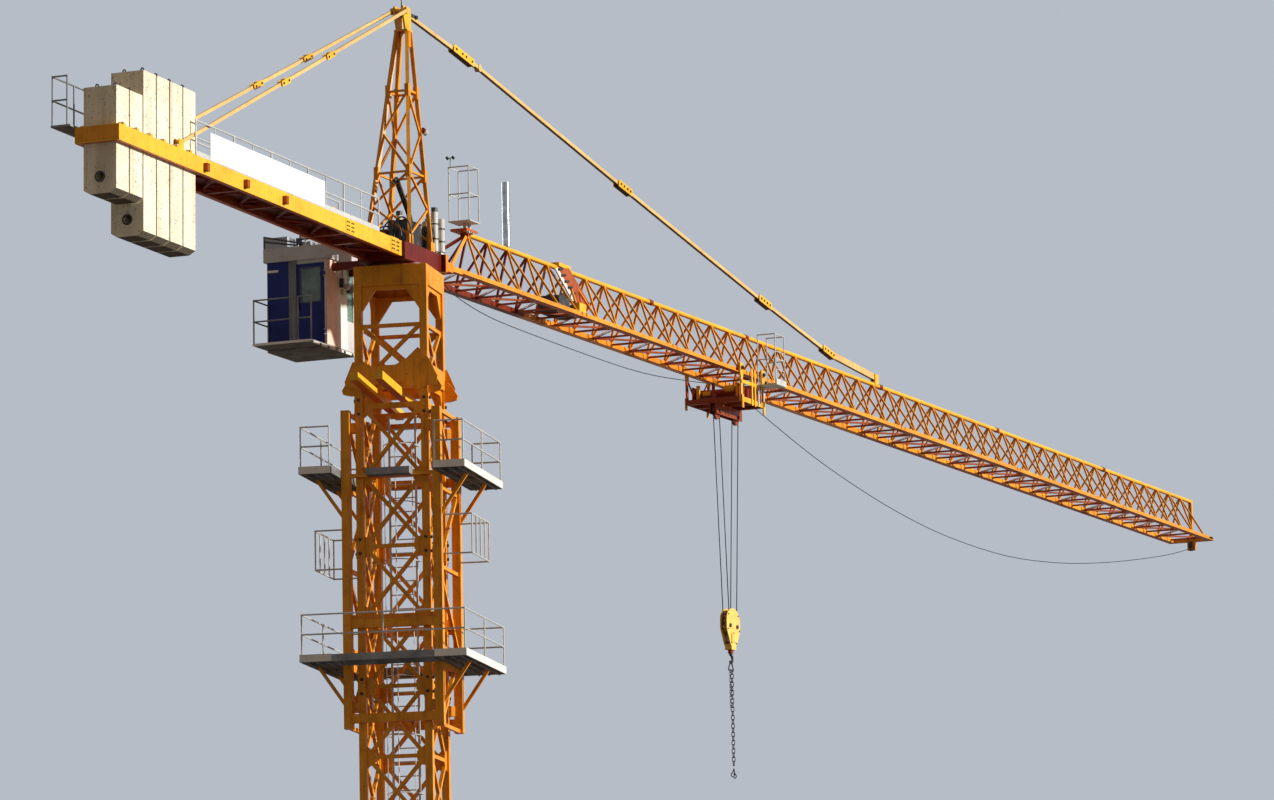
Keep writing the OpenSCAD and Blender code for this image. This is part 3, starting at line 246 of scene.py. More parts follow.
def plain(red, green, blue):
    """A colour as it is seen on screen, 0 to 255, as the linear light that the shader takes."""
    seen = np.array([red, green, blue]) / 255.0
    linear = np.where(seen <= 0.04045, seen / 12.92, ((seen + 0.055) / 1.055) ** 2.4)
    return tuple(float(v) for v in linear)


def mottled(name, noise, span, first, second, **fixed):
    """Two colours in patches: noise is its scale and detail, and span the values where each colour is full.
    Returns the finish and the patches, 0 to 1."""
    f = Finish(name, **fixed)
    patches = f.ramp(f.noise(*noise), *span)
    f.feed("Base Color", f.mix(patches, plain(*first), plain(*second)))
    return f, patches


def rope_finish(name, colour, lay):
    """Stranded wire: a slanted wave as bump for the strands, and grease in the dark between them."""
    f = Finish(name, Metallic=0.55)
    slant = f.node("ShaderNodeVectorMath", {"operation": "DOT_PRODUCT"}, {0: f.place, 1: lay}, "Value")
    strand = f.sine(slant)
    grease = f.noise(9.0, 4.0)
    f.feed("Base Color", f.mix(f.ramp(grease, 0.35, 0.7), tuple(0.45 * c for c in colour), colour))
    f.feed("Roughness", 0.35 + 0.3 * grease)
    f.bump(strand, 0.002)
    return f.material


drive_rope = rope_finish("greased_drive_rope", plain(70, 72, 78), (420.0, 160.0, 160.0))
rope_radius = 0.005
inner_route = [
    (0.9965, 0, 13.248), (1.325, 0, 13.12), (1.65, 0, 13.06), (2.1, 0, 13.01), (2.655, 0, 12.98),
    (3.6, 0, 12.97), (4.61, 0, 12.968), (5.5, 0, 12.972), (6.36, 0, 12.985), (7.2, 0, 13.025),
    (8.195, 0, 13.11), (8.9258, 0, 13.18),
]
outer_route = [
    (9.6762, 0, 13.185), (10.59, 0, 13.01), (12.0, 0, 12.765), (13.45, 0, 12.57), (15.2, 0, 12.4),
    (17.07, 0, 12.31), (19.3, 0, 12.33), (21.455, 0, 12.49), (23.5, 0, 12.74), (25.39, 0, 13.03),
    (26.5, 0, 13.225), (27.3245, 0, 13.4),
]


# The stand of a piece that is blended between two bodies.
between = (None, None)


def drive_rope_piece(name, node, route):
    """The rope's tube along its smoothed route, with the stand of a blended piece; the rope's own node is
    hidden.
    """
    line = smooth_line(route, 4)
    tube = [tube_grid(line, rope_radius, 8)]
    piece = piece_of(name, tube, between, ("wire_rope", drive_rope), smooth=True)
    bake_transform(piece)
    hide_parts(node)


drive_rope_piece("drive_rope_to_foot", "travel_rope_inner", inner_route)
drive_rope_piece("drive_rope_to_tip", "travel_rope_outer", outer_route)

# The structure's paint: gloss coats of warm yellow and orange on welded steel. Outdoor years have faded
# it in broad patches, run dirt down it in streaks and let rust through where it was knocked. Undersides
# and some inner and far faces carry painted shade.


def dress(finish, *names):
    """The finish goes on these nodes of the frame."""
    for name in names:
        for place in nodes[name].material_slots:
            place.material = finish


rust = (120, 62, 28)
# red_shade: the painted shade colour on the undersides of the yellow and orange paints.
red_shade = (190, 58, 24)
dull_specular = 0.22
beam_end_x = -6.9


def weathered_paint(name, colour, dirt_colour, wear=1.0, under=None, shaded=None, rust_colour=rust):
    """Colours are as seen, 0 to 255. Wear scales dirt and rust, and under is the colour of painted shade on
    faces
    that look down. shaded is (axis, sign, limit, colour): that colour where sign times the coordinate passes
    the limit, and with sign 0 where the distance from the middle stays under minus the limit, ahead of the
    beams' end. It paints shade on the counter-jib beams' inner faces, the trolley's frame and the jib's far
    chord at its root, and gives the turntable its orange front end."""
    colour, dirt_colour, rust_colour = (plain(*c) for c in (colour, dirt_colour, rust_colour))
    f = Finish(name, Specular_IOR_Level=dull_specular)
    fade = f.ramp(f.noise(0.9, 2.0), 0.35, 0.65)
    grime = f.ramp(f.noise(6.0, 5.0), 0.48, 0.75) * (0.4 * wear)
    runs = f.ramp(f.noise(1.0, 4.0, f.stretch(24.0, 24.0, 1.5)), 0.5, 0.72) * (0.35 * wear)
    chipped = f.ramp(f.noise(34.0, 4.0), 0.66, 0.7)
    paint = f.mix(fade, tuple(0.84 * c for c in colour), colour)
    # Faces that look down get the under colour: painted shade.
    if under:
        paint = f.mix(f.underside_shade_mask() * 0.9, paint, plain(*under))
    if shaded:
        axis, sign, limit, other = shaded
        across = f.place_along(axis)
        if sign == 0:
            across = 0.0 - f.node("ShaderNodeMath", {"operation": "ABSOLUTE"}, {0: across})
        else:
            across = across * float(sign)
        masked = f.ramp(across, limit, limit + 0.003)
        if sign == 0:
            masked = masked * f.ramp(f.place_along(0), beam_end_x, beam_end_x + 0.01)
        paint = f.mix(masked, paint, plain(*other))
    soiled = f.mix(grime + runs, paint, dirt_colour)
    f.feed("Base Color", f.mix(chipped * (0.75 * wear), soiled, rust_colour))
    f.feed("Roughness", 0.36 + grime * 0.5 + chipped * 0.25)
    f.bump(f.noise(60.0, 3.0) * 0.4 - chipped, 0.0012)
    return f.material


orange_paint = weathered_paint("orange_structure_paint", (245, 164, 40), (140, 74, 28), 1.0, red_shade)
yellow_paint = weathered_paint("yellow_structure_paint", (252, 194, 54), (170, 104, 40), 0.7, red_shade)
# The beams' inner faces, between the beams and ahead of their end, get a dark red painted shade.
beam_paint = weathered_paint("counter_beam_paint", (252, 194, 54), (170, 104, 40), 0.7, red_shade,
                             (1, 0, -0.2, (130, 44, 20)))
# The trolley frame is yellow only on its near outer side; everything inward of it is dark red painted shade.
carriage_paint = weathered_paint("trolley_paint", (250, 190, 60), (140, 74, 28), 1.0, red_shade,
                                 (1, 1, -0.335, (150, 58, 24)))
# The ties' pale paint; faces that look down get a dark painted shade.
tie_paint = weathered_paint("pale_tie_paint", (236, 196, 124), (160, 108, 68), 0.7, (84, 52, 36))
dark_red = weathered_paint("dark_red_paint", (150, 46, 22), (70, 30, 20), 1.2, (96, 26, 16))
dress(orange_paint, "base_cross", "mast_front", "mast_rear", "mast_left", "mast_right", "support_front",
      "support_rear", "support_left", "support_right", "slew_box", "cage_left", "cage_right", "cage_ties",
      "tower_head", "jib_near_inner", "jib_near_outer", "jib_far_outer", "jib_tip")
dress(yellow_paint, "jacking_beams", "head_apex", "jib_top_chord")
block_paint = weathered_paint("hook_block_paint", (255, 214, 112), (180, 124, 60), 0.7, red_shade)
dress(block_paint, "hook_block")
dress(beam_paint, "counter_frame")
# The jib's far side is dark red where x is under 3.9: painted shade near the root.
root_paint = weathered_paint("jib_root_paint", (248, 150, 24), (120, 60, 26), 1.0, None,
                             (0, -1, -3.9, (124, 38, 10)))
dress(root_paint, "jib_far_inner")
# The jib's floor lattice: a dark orange-red as painted shade under the jib, darker still as painted shade on
# faces that look down. The winch screen wears it as its red.
floor_paint = weathered_paint("jib_floor_paint", (186, 88, 38), (90, 44, 26), 1.2, (120, 40, 22))
dress(floor_paint, "jib_floor")
dress(carriage_paint, "trolley_frame")
dress(tie_paint, "counter_tie_near", "counter_tie_far", "jib_tie")
# The turntable: dark red as painted shade on its side, its own orange past x 0.5, and a darker painted shade
# on faces that look down.
table_paint = weathered_paint("turntable_paint", (112, 22, 4), (56, 20, 8), 1.0, (80, 24, 12),
                              (0, 1, 0.5, (236, 140, 30)))
dress(table_paint, "turntable")
dress(dark_red, "counter_deck")

# The hoist rope: four falls of 12 mm stranded wire, two on each pair of sheaves, between the trolley's
# sheaves and the hook block's. Winding the winch shortens all four.

hoist_rope = rope_finish("greased_hoist_rope", plain(58, 60, 66), (300.0, 300.0, 170.0))
rise = math.radians(0.59)
counter_rise = math.radians(0.85)
turn = math.radians(10.8)
jib_foot_z = 13.238
counter_foot_z = 13.1933


def on_jib(points):
    """Points of the jib's own frame, which is turned up by its rise, in the shared frame."""
    x, y, z = np.moveaxis(np.asarray(points, float), -1, 0)
    return np.stack([x * math.cos(rise) - z * math.sin(rise), y,
                     jib_foot_z + x * math.sin(rise) + z * math.cos(rise)], -1)


def on_counter(points):
    """Points of the counter-jib's own frame, which is turned up by its rise, in the shared frame."""
    x, y, z = np.moveaxis(np.asarray(points, float), -1, 0)
    return np.stack([x * math.cos(counter_rise) + z * math.sin(counter_rise), y,
                     counter_foot_z - x * math.sin(counter_rise) + z * math.cos(counter_rise)], -1)


# The stands: a body, and for points of a part's own frame also the rule that places them.
tower = ("tower", None)
crane_top = ("crane_top", None)
jib = ("crane_top", on_jib)
counter_jib = ("crane_top", on_counter)
trolley_x = 9.3
sheave_radius = 0.09
sheave_z = -0.475
block_sheave_z = -0.215
hook_drop = 2.83
hook_x = float(on_jib([trolley_x, 0, sheave_z])[0])
hook_top = float(on_jib([trolley_x, 0, 0])[2]) - hook_drop
fall_radius = 0.006
for side, place in ((-1, "outer"), (1, "inner")):
    upper = on_jib([trolley_x + side * 0.3, 0, sheave_z])
    lower = np.array([hook_x + side * 0.11, 0, hook_top + block_sheave_z])
    down = (lower - upper) / np.linalg.norm(lower - upper)
    beside = (sheave_radius + fall_radius + 0.0003) * np.array([down[2], 0, -down[0]])
    for face in (-1, 1):
        fall = piece_of(f"hoist_fall_{place}_{'a' if face < 0 else 'b'}",
                        [tube_grid([upper + face * beside, lower + face * beside], fall_radius, 8)],
                        between, ("wire_rope", hoist_rope), smooth=True)
        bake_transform(fall)
        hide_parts("hoist_ropes")

# The load hook and its chain sling: a forged steel hook on a shank that turns in the block, a triangular
# link, and two chains of round bar, a light short one and a heavy one that ends in a bunch of hooks.

forged, scale_marks = mottled("dark_forged_steel", (40.0, 5.0), (0.4, 0.7), (46, 46, 52), (96, 84, 76),
                              Metallic=0.8)
forged.feed("Roughness", 0.38 + 0.3 * scale_marks)
forged.bump(forged.noise(90.0, 4.0), 0.001)


def chain_links(top, run, pitch, width, bar, sides=6, around=14):
    """Links down from top: each is a stadium of half length pitch / 2 + bar, with the middles of its bar
    width apart, and every second link is turned by a quarter. Returns the parts."""
    a = np.arange(around) * 2 * math.pi / around
    straight = pitch / 2 + bar / 2 - width / 2
    outline = np.stack([width / 2 * np.cos(a), np.zeros(around),
                        width / 2 * np.sin(a) + np.sign(np.sin(a)) * straight], -1)
    parts = []
    for k in range(int(run / pitch)):
        link = outline if k % 2 == 0 else outline[:, [1, 0, 2]]
        parts.append(tube_grid(link + np.asarray(top) + [0, 0, -pitch * (k + 0.5)], bar / 2, sides,
                               closed=True))
    return parts


hook_at = np.array([hook_x, 0.0, hook_top - 0.5])
bend = np.radians(np.linspace(100, -150, 26))
hook_line = np.stack([0.05 * np.cos(bend), 0 * bend, -0.11 + 0.05 * np.sin(bend)], -1)
hook_thick = 0.0155 - 0.0085 * np.linspace(0, 1, 26) ** 3
shank_line = np.array([[0, 0, 0.09], [0, 0, -0.055]])
nut_line = np.array([[0, 0, 0.0805], [0, 0, 0.1025]])
ring_z = -0.177
triangle = np.array([[0.0, 0, ring_z + 0.045], [0.013, 0, ring_z + 0.04], [0.078, 0, ring_z - 0.058],
                     [0.07, 0, ring_z - 0.072], [-0.07, 0, ring_z - 0.072], [-0.078, 0, ring_z - 0.058],
                     [-0.013, 0, ring_z + 0.04]])
sling_length = 1.2
sling_top = hook_at + [0.025, 0, ring_z - 0.06]
light_top = hook_at + [-0.025, 0, ring_z - 0.06]
sling_parts = [tube_grid(hook_line + hook_at, hook_thick, 12), tube_grid(shank_line + hook_at, 0.017, 16),
               tube_grid(nut_line + hook_at, 0.027, 6),
               tube_grid(triangle + hook_at, 0.008, 8, closed=True)]
sling_parts += chain_links(sling_top, sling_length, 0.05, 0.038, 0.011)
sling_parts += chain_links(light_top, 0.5, 0.036, 0.026, 0.007)
small_hook = 0.024
small_bend = np.radians(np.linspace(80, -170, 14))
for k, heading in enumerate(np.radians([10, 130, 250])):
    flat = np.stack([small_hook * np.cos(small_bend) * math.cos(heading),
                     small_hook * np.cos(small_bend) * math.sin(heading),
                     -0.04 + small_hook * np.sin(small_bend)], -1)
    away = np.array([math.cos(heading), math.sin(heading), 0]) * 0.012
    end = sling_top + [0, 0, -sling_length - 0.02 * k] + away
    sling_parts += [tube_grid(flat + end, 0.007 - 0.003 * np.linspace(0, 1, 14) ** 2, 8),
                    tube_grid(np.array([sling_top + [0, 0, 0.015 - sling_length], flat[0] + end]), 0.006, 8)]
hook_piece = piece_of("load_hook_and_chains", sling_parts, ("hook", None),
                      ("dark_machinery", forged.material), smooth=True)
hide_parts("hook_sling")

# The counterweights: six slabs of cream concrete cast in steel moulds, hung by bars between the side beams.
# Rain has left grey runs on them and the casting has left pores; their undersides carry a dark painted
# shade.

concrete = Finish("cast_concrete")
cement = concrete.ramp(concrete.noise(2.2, 6.0), 0.35, 0.7)
washed = concrete.ramp(concrete.noise(1.0, 5.0, concrete.stretch(9.0, 9.0, 0.8)), 0.46, 0.66)
pores = concrete.ramp(concrete.noise(48.0, 3.0), 0.62, 0.68)
clean = concrete.mix(cement, plain(232, 224, 198), plain(246, 240, 218))
streaked = concrete.mix(washed * 0.4, clean, plain(160, 148, 132))
pitted = concrete.mix(pores * 0.6, streaked, plain(104, 96, 84))
# Faces that look down are painted dark brown: painted shade.
concrete.feed("Base Color", concrete.mix(concrete.underside_shade_mask(), pitted, plain(82, 70, 58)))
concrete.feed("Roughness", 0.82 + cement * 0.1)
concrete.bump(concrete.noise(20.0, 6.0) - pores, 0.004)
dress(concrete.material, "counterweights")

# The walkway plates and the hoist winch's frame: grey steel, worn and dirty, with painted shade where it
# faces down.

walkway = Finish("grey_walkway_steel")
worn = walkway.ramp(walkway.noise(5.0, 6.0), 0.4, 0.7)
plates = walkway.mix(worn, plain(112, 114, 118), plain(164, 166, 168))
# Faces that look down turn dark brown: painted shade.
walkway.feed("Base Color", walkway.mix(walkway.underside_shade_mask(), plates, plain(74, 66, 58)))
walkway.feed("Roughness", 0.5 + 0.25 * worn)
walkway.bump(walkway.noise(70.0, 3.0), 0.0015)
dress(walkway.material, "upper_platform", "lower_platform", "end_platform", "cab_floor",
      "cab_landing", "hoist_winch")

# The handrails, baskets and ladder: welded tube in pale grey paint, dirty and chipped. The upright tube on
# the jib is polished.

tube_paint = weathered_paint("pale_tube_paint", (206, 208, 206), (120, 112, 100), 0.7)
dress(tube_paint, "mast_ladder", "upper_rails", "lower_rails", "counter_rail_near", "counter_rail_far",
      "root_basket", "trolley_basket")
chrome, _ = mottled("polished_tube", (14.0, 4.0), (0.3, 0.7), (150, 152, 156), (206, 208, 210),
                    Metallic=0.9, Roughness=0.2)
dress(chrome.material, "signal_tube")

# The cab: folded sheet steel walls in pale grey, a navy rear panel and door, and green-tinted glass.

pale_sheet = weathered_paint("pale_cab_sheet", (206, 206, 208), (140, 128, 112), 0.5)
navy_sheet = weathered_paint("navy_cab_sheet", (22, 36, 116), (20, 26, 60), 0.5, rust_colour=(60, 50, 60))
dress(pale_sheet, "cab_lintel", "cab_near_wall", "cab_far_wall", "cab_roof")
dress(navy_sheet, "cab_rear_panel", "cab_door")
glass, _ = mottled("green_cab_glass", (3.0, 3.0), (0.3, 0.7), (150, 196, 180), (190, 222, 208),
                   Roughness=0.05, IOR=1.5, Transmission_Weight=0.7)
dress(glass.material, "cab_glass")

# The bare sheet on the counter-jib's rail: white coated cloth, a little soiled, with slack waves as bump.

banner, _ = mottled("white_coated_cloth", (1.6, 4.0), (0.3, 0.75), (222, 224, 228), (246, 247, 250),
                    Roughness=0.45)
banner.bump(banner.noise(1.0, 2.0, banner.stretch(5.0, 5.0, 2.0)), 0.02)
dress(banner.material, "banner_panel")

# The machines: black enamel on the slewing gear motors and on the trolley winch.

machine, oily = mottled("black_machine_enamel", (12.0, 5.0), (0.4, 0.7), (30, 30, 34), (74, 66, 58))
machine.feed("Roughness", 0.3 + 0.35 * oily)
dress(machine.material, "slew_motors", "trolley_winch")

# The looks of the added fittings: a slot and a finish each, with the finishes that only they have.

dark_bolt, _ = mottled("greased_bolt_steel", (30.0, 3.0), (0.4, 0.7), (52, 42, 36), (96, 70, 50),
                       Metallic=0.6)
dark_bolt.feed("Roughness", 0.45 + 0.3 * dark_bolt.noise(20.0, 3.0))
grey_enamel = weathered_paint("grey_machine_paint", (126, 130, 134), (70, 64, 58), 0.8)
light_enamel = weathered_paint("light_machine_paint", (206, 206, 202), (120, 110, 100), 0.6)
white_enamel = weathered_paint("white_kick_paint", (244, 243, 238), (150, 144, 136), 0.4)
white_sheet = weathered_paint("white_cab_sheet", (246, 242, 236), (180, 160, 140), 0.3)
orange_steel = ("crane_paint", orange_paint)
yellow_steel = ("crane_paint", yellow_paint)
red_steel = ("crane_paint", dark_red)
black_machine = ("dark_machinery", machine.material)
greased_bolts = ("dark_machinery", dark_bolt.material)
pale_cover = ("dark_machinery", light_enamel)
pale_rail = ("rail_grey", tube_paint)
white_cab = ("cab_pale", white_sheet)

# The mast's section joints: a thick sleeve round each leg at every section's end, with a pad and two bolts
# on each outer face. They are painted with the mast, and the bolts' nuts are left dark with grease.


def box_part(low, high):
    """The eight corners and six faces of an upright box."""
    low = np.asarray(low, float)
    high = np.asarray(high, float)
    pick = np.array([[i, j, k] for i in (0, 1) for j in (0, 1) for k in (0, 1)])
    points = low + pick * (high - low)
    return points, [[0, 1, 3, 2], [4, 6, 7, 5], [0, 4, 5, 1], [2, 3, 7, 6], [0, 2, 6, 4], [1, 5, 7, 3]]


def rod(start, end, radius, sides=8):
    """A straight round bar."""
    return tube_grid(np.array([start, end], float), radius, sides)


def upright(x, y, low, high, radius, sides=8):
    """A round bar along Z."""
    return rod([x, y, low], [x, y, high], radius, sides)


def crosswise(x, z, low, high, radius, sides=8):
    """A round bar along Y."""
    return rod([x, low, z], [x, high, z], radius, sides)


def lengthwise(y, z, low, high, radius, sides=8):
    """A round bar along X."""
    return rod([low, y, z], [high, y, z], radius, sides)


def plate(x_low, x_high, y, half, z_low, z_high):
    """A box as thick as twice half, with y in its middle."""
    return box_part([x_low, y - half, z_low], [x_high, y + half, z_high])


def tilted_plate(corners, y, half):
    """A flat plate in an x-z plane: its corners (x, z) at y minus half, then the same at y plus half."""
    flat = np.array(corners)
    near = np.stack([flat[:, 0], np.full(len(flat), y - half), flat[:, 1]], -1)
    far = near + [0, 2 * half, 0]
    count = len(flat)
    faces = [list(range(count)), list(range(2 * count - 1, count - 1, -1))]
    for k in range(count):
        after = (k + 1) % count
        faces.append([after, k, count + k, count + after])
    return np.vstack([near, far]), faces


def on_mast(points):
    """Points of the mast's own frame, turned about the mast's axis, in the shared frame."""
    x, y, z = np.moveaxis(np.asarray(points, float), -1, 0)
    return np.stack([x * math.cos(turn) - y * math.sin(turn),
                     x * math.sin(turn) + y * math.cos(turn), z], -1)


mast = ("tower", on_mast)
base_top = 0.35
section = 1.5
mast_top = 11.6
leg_at = 0.36
sleeve_half = np.array([0.0395, 0.0395, 0.12])
pad_half = np.array([0.046, 0.046, 0.13])
sleeves = []
nuts = []
for level in np.arange(mast_top, base_top + 0.2, -section):
    for sx in (-1, 1):
        for sy in (-1, 1):
            middle = np.array([sx * leg_at, sy * leg_at, level])
            sleeves.append(box_part(middle - sleeve_half, middle + sleeve_half))
            for face, axis in ((sx, 0), (sy, 1)):
                side_step = np.zeros(3)
                side_step[axis] = face * 0.04
                half = pad_half * (1 - 0.9 * np.eye(3)[axis])
                sleeves.append(box_part(middle + side_step - half, middle + side_step + half))
                for lift in (-0.075, 0.075):
                    bolt = middle + side_step + [0, 0, lift]
                    out = np.zeros(3)
                    out[axis] = face * 0.022
                    nuts.append(rod(bolt, bolt + out, 0.017, 6))
piece_of("mast_joint_sleeves", sleeves, mast, orange_steel)
piece_of("mast_joint_bolts", nuts, mast, greased_bolts)

# The mast ladder's safety hoops: round bar bent behind the climber every two rungs or so, with three
# thinner bars down their backs. They stand inside the mast.

hoops = []
hoop_turn = np.linspace(math.radians(100), math.radians(260), 11)
ladder_x = 0.26
lowest_hoop = 2.5
for level in np.arange(lowest_hoop, mast_top - 0.2, 0.625):
    arc = np.stack([ladder_x + 0.36 * np.cos(hoop_turn) + 0.03, 0.05 + 0.2 * np.sin(hoop_turn),
                    0 * hoop_turn + level], -1)
    ends = np.array([[ladder_x, 0.2, level], [ladder_x, -0.1, level]])
    hoops.append(tube_grid(np.vstack([ends[:1], arc, ends[1:]]), 0.006, 6))
for angle in np.radians([130, 180, 230]):
    foot = [ladder_x + 0.03 + 0.36 * math.cos(angle), 0.05 + 0.2 * math.sin(angle), lowest_hoop]
    hoops.append(rod(foot, [foot[0], foot[1], mast_top - 0.3], 0.005, 4))
piece_of("ladder_hoops", hoops, mast, pale_rail)

# The slewing ring's bolts: one circle of greased nuts under the turntable.

ring_nuts = []
nut_count = 36
nut_circle = 0.355
for angle in np.arange(nut_count) * 2 * math.pi / nut_count:
    at = np.array([nut_circle * math.cos(angle), nut_circle * math.sin(angle), 13.1165])
    ring_nuts.append(rod(at, at + [0, 0, 0.016], 0.013, 6))
piece_of("slewing_ring_nuts", ring_nuts, tower, greased_bolts)

# The slewing drives: two upright gear motors on the turntable's front, each with a ribbed black motor, a
# pale brake cover and a cable box. A switch cabinet, a resistor box, cables and banded drums stand round
# them.

table_top = 13.3633
drives = []
covers = []
for y in (-0.15, 0.15):
    foot = np.array([0.4, y, table_top])
    for k in range(9):
        drives.append(rod(foot + [0, 0, 0.13 + 0.017 * k], foot + [0, 0, 0.139 + 0.017 * k], 0.058, 16))
    covers += [rod(foot + [0, 0, 0.3], foot + [0, 0, 0.35], 0.05, 16),
               rod(foot + [0, 0, 0.35], foot + [0, 0, 0.365], 0.03, 12)]
    drives.append(box_part(foot + [-0.035, -0.085, 0.18], foot + [0.035, -0.05, 0.25]))
piece_of("slewing_motor_ribs", drives, crane_top, black_machine)
piece_of("slewing_brake_covers", covers, crane_top, pale_cover)
cabinet = [box_part([-0.2, -0.2, table_top], [0.16, 0.02, table_top + 0.27]),
           box_part([-0.21, -0.21, table_top + 0.27], [0.17, 0.03, table_top + 0.282]),
           box_part([-0.206, -0.19, table_top + 0.02], [-0.2, -0.1, table_top + 0.25]),
           box_part([-0.206, -0.08, table_top + 0.02], [-0.2, 0.01, table_top + 0.25])]
piece_of("slewing_switch_cabinet", cabinet, crane_top, black_machine)
resistor = [box_part([-0.18, 0.06, table_top], [0.1, 0.19, table_top + 0.2])]
for x in np.arange(-0.17, 0.1, 0.03):
    resistor.append(box_part([x, 0.054, table_top + 0.02], [x + 0.018, 0.06, table_top + 0.18]))
piece_of("slewing_resistor_box", resistor, crane_top, ("dark_machinery", dark_red))
cable = []
for k, (x, y) in enumerate(((-0.26, -0.16), (-0.3, -0.06), (-0.24, 0.05))):
    t = np.linspace(0, 1, 15)
    arch = np.stack([x + 0 * t, y - 0.12 * np.cos(math.pi * t),
                     table_top + (0.3 - 0.04 * k) * np.sin(math.pi * t) ** 0.7], -1)
    cable.append(tube_grid(arch, 0.009, 6))
piece_of("slewing_cable_arches", cable, crane_top, black_machine, smooth=True)
pale_drums = []
dark_drums = []
for side in (-1, 1):
    for x, y, height, drums in ((0.48, 0.21, 0.47, pale_drums), (0.5, 0.125, 0.4, dark_drums),
                                (0.545, 0.16, 0.44, dark_drums), (0.553, 0.255, 0.4, pale_drums)):
        foot = np.array([x, side * y, table_top])
        drums.append(rod(foot, foot + [0, 0, height], 0.04, 16))
        for lift in (0.02, 0.35 * height, 0.7 * height):
            dark_drums.append(rod(foot + [0, 0, lift], foot + [0, 0, lift + 0.016], 0.043, 16))
    pale_drums.append(plate(0.468, 0.61, side * 0.19, 0.1, table_top, table_top + 0.02))
    dark_drums.append(upright(0.48, side * 0.21, table_top + 0.47, table_top + 0.52, 0.036, 16))
piece_of("slewing_brake_drums_pale", pale_drums, crane_top, pale_cover)
piece_of("slewing_brake_drums_dark", dark_drums, crane_top, black_machine)

# The tower head's fittings: a dark rope arm and the lightning spike on the apex, a round lamp on the near
# front leg, a pair of cable hoses inside the legs, and plates on the legs and their feet.

head_height = 2.43
head_top = table_top + head_height


def head_leg_at(end, side, t):
    """The tower head's leg line: end -1 is the rear and 1 the front; t runs from the foot to the top."""
    x = -0.262 + 0.42 * t if end < 0 else 0.293 - 0.044 * t
    return np.array([x, side * (0.256 - 0.197 * t), table_top + head_height * t])


apex = [upright(0.165, 0, head_top + 0.25, head_top + 0.52, 0.009, 8),
        upright(0.165, 0, head_top + 0.52, head_top + 0.66, 0.004, 6),
        box_part([0.1, -0.03, head_top + 0.2], [0.5, -0.018, head_top + 0.235]),
        box_part([0.1, 0.018, head_top + 0.2], [0.5, 0.03, head_top + 0.235]),
        crosswise(0.48, head_top + 0.215, -0.04, 0.04, 0.022, 12)]
piece_of("apex_arm_and_spike", apex, crane_top, black_machine)
lamp_at = head_leg_at(1, -1, 0.551) + [0.04, -0.03, 0]
lamp = [rod(lamp_at, lamp_at + [0.04, -0.01, -0.02], 0.032, 16),
        rod(lamp_at + [-0.04, 0.03, 0], lamp_at, 0.01, 8)]
piece_of("floodlight", lamp, crane_top, pale_cover)
lamp_back = [rod(lamp_at + [-0.028, 0, 0.012], lamp_at, 0.027, 14)]
piece_of("floodlight_back", lamp_back, crane_top, red_steel)
hose = smooth_line([[-0.3, -0.1, 14.06], [-0.19, -0.08, 14.1], [-0.07, -0.06, 14.04],
                    [0.005, -0.07, 13.935], [0.104, -0.08, 13.8], [0.2, -0.08, 13.62]], 6)
hoses = [tube_grid(hose, 0.02, 8), tube_grid(hose + [0.02, 0.03, -0.03], 0.012, 8)]
piece_of("head_cable_hose", hoses, crane_top, black_machine, smooth=True)
leg_plates = []
for end in (-1, 1):
    for side in (-1, 1):
        for t in (0.34, 0.72):
            at = head_leg_at(end, side, t)
            leg_plates.append(box_part(at - [0.03, 0.024, 0.07], at + [0.03, 0.024, 0.07]))
        foot = head_leg_at(end, side, 0.0)
        leg_plates.append(box_part(foot - [0.05, 0.02, 0], foot + [0.05, 0.02, 0.1]))
piece_of("head_leg_plates", leg_plates, crane_top, orange_steel)

# The ties' link plates: pairs of yellow plates with dark pins through them at each joint of the ties, and a
# dark bar along the lower edge between the plates of the jib's tie, as painted shade in the gap.

tie_pin_z = head_top + 0.22
tie_end = on_jib([14.425, 0, 0.665])


def tie_line(x):
    return tie_pin_z + (x - 0.225) * (tie_end[2] - tie_pin_z) / (tie_end[0] - 0.225)


def link_box(at, along, over, ends, edges, faces_y):
    """A box in a tie's own directions: its ends along the tie, its edges over it and the y of its faces."""
    corners = [at + s * along + u * over + [0, y, 0] for s in ends for y in faces_y for u in edges]
    return np.array(corners), box_part([0, 0, 0], [1, 1, 1])[1]


tie_joints = [[x, 0, tie_line(x) + lift]
              for x, lift in ((1.72, 0.018), (6.25, -0.066), (10.605, -0.139), (12.745, -0.149))]
link_thick = 0.008
links = []
pins = []
for joint in tie_joints:
    at = np.array(joint)
    along = np.array([1, 0, -0.15])
    along /= np.linalg.norm(along)
    over = np.array([-along[2], 0, along[0]])
    reach = 0.27 if joint[0] < 2 else 0.2
    for y in (-0.037, 0.029):
        links.append(link_box(at, along, over, (-reach, reach), (-0.042, 0.042), (y, y + link_thick)))
    inset = reach - 0.02
    # A dark bar between the plates' lower edges: painted shade in the gap.
    pins.append(link_box(at, along, over, (-inset, inset), (-0.044, -0.034), (-0.029, 0.029)))
    for s in (-reach + 0.06, -0.05, 0.05, reach - 0.06):
        pins.append(rod(at + s * along + [0, -0.045, 0], at + s * along + [0, 0.045, 0], 0.015, 8))
start_near = np.array([0.11, 0.085, tie_pin_z])
anchor = on_counter([-5.625, 0.215, 0.225])
along = (anchor - start_near) / np.linalg.norm(anchor - start_near)
over = np.cross(along, [0, 1.0, 0])
over /= np.linalg.norm(over)
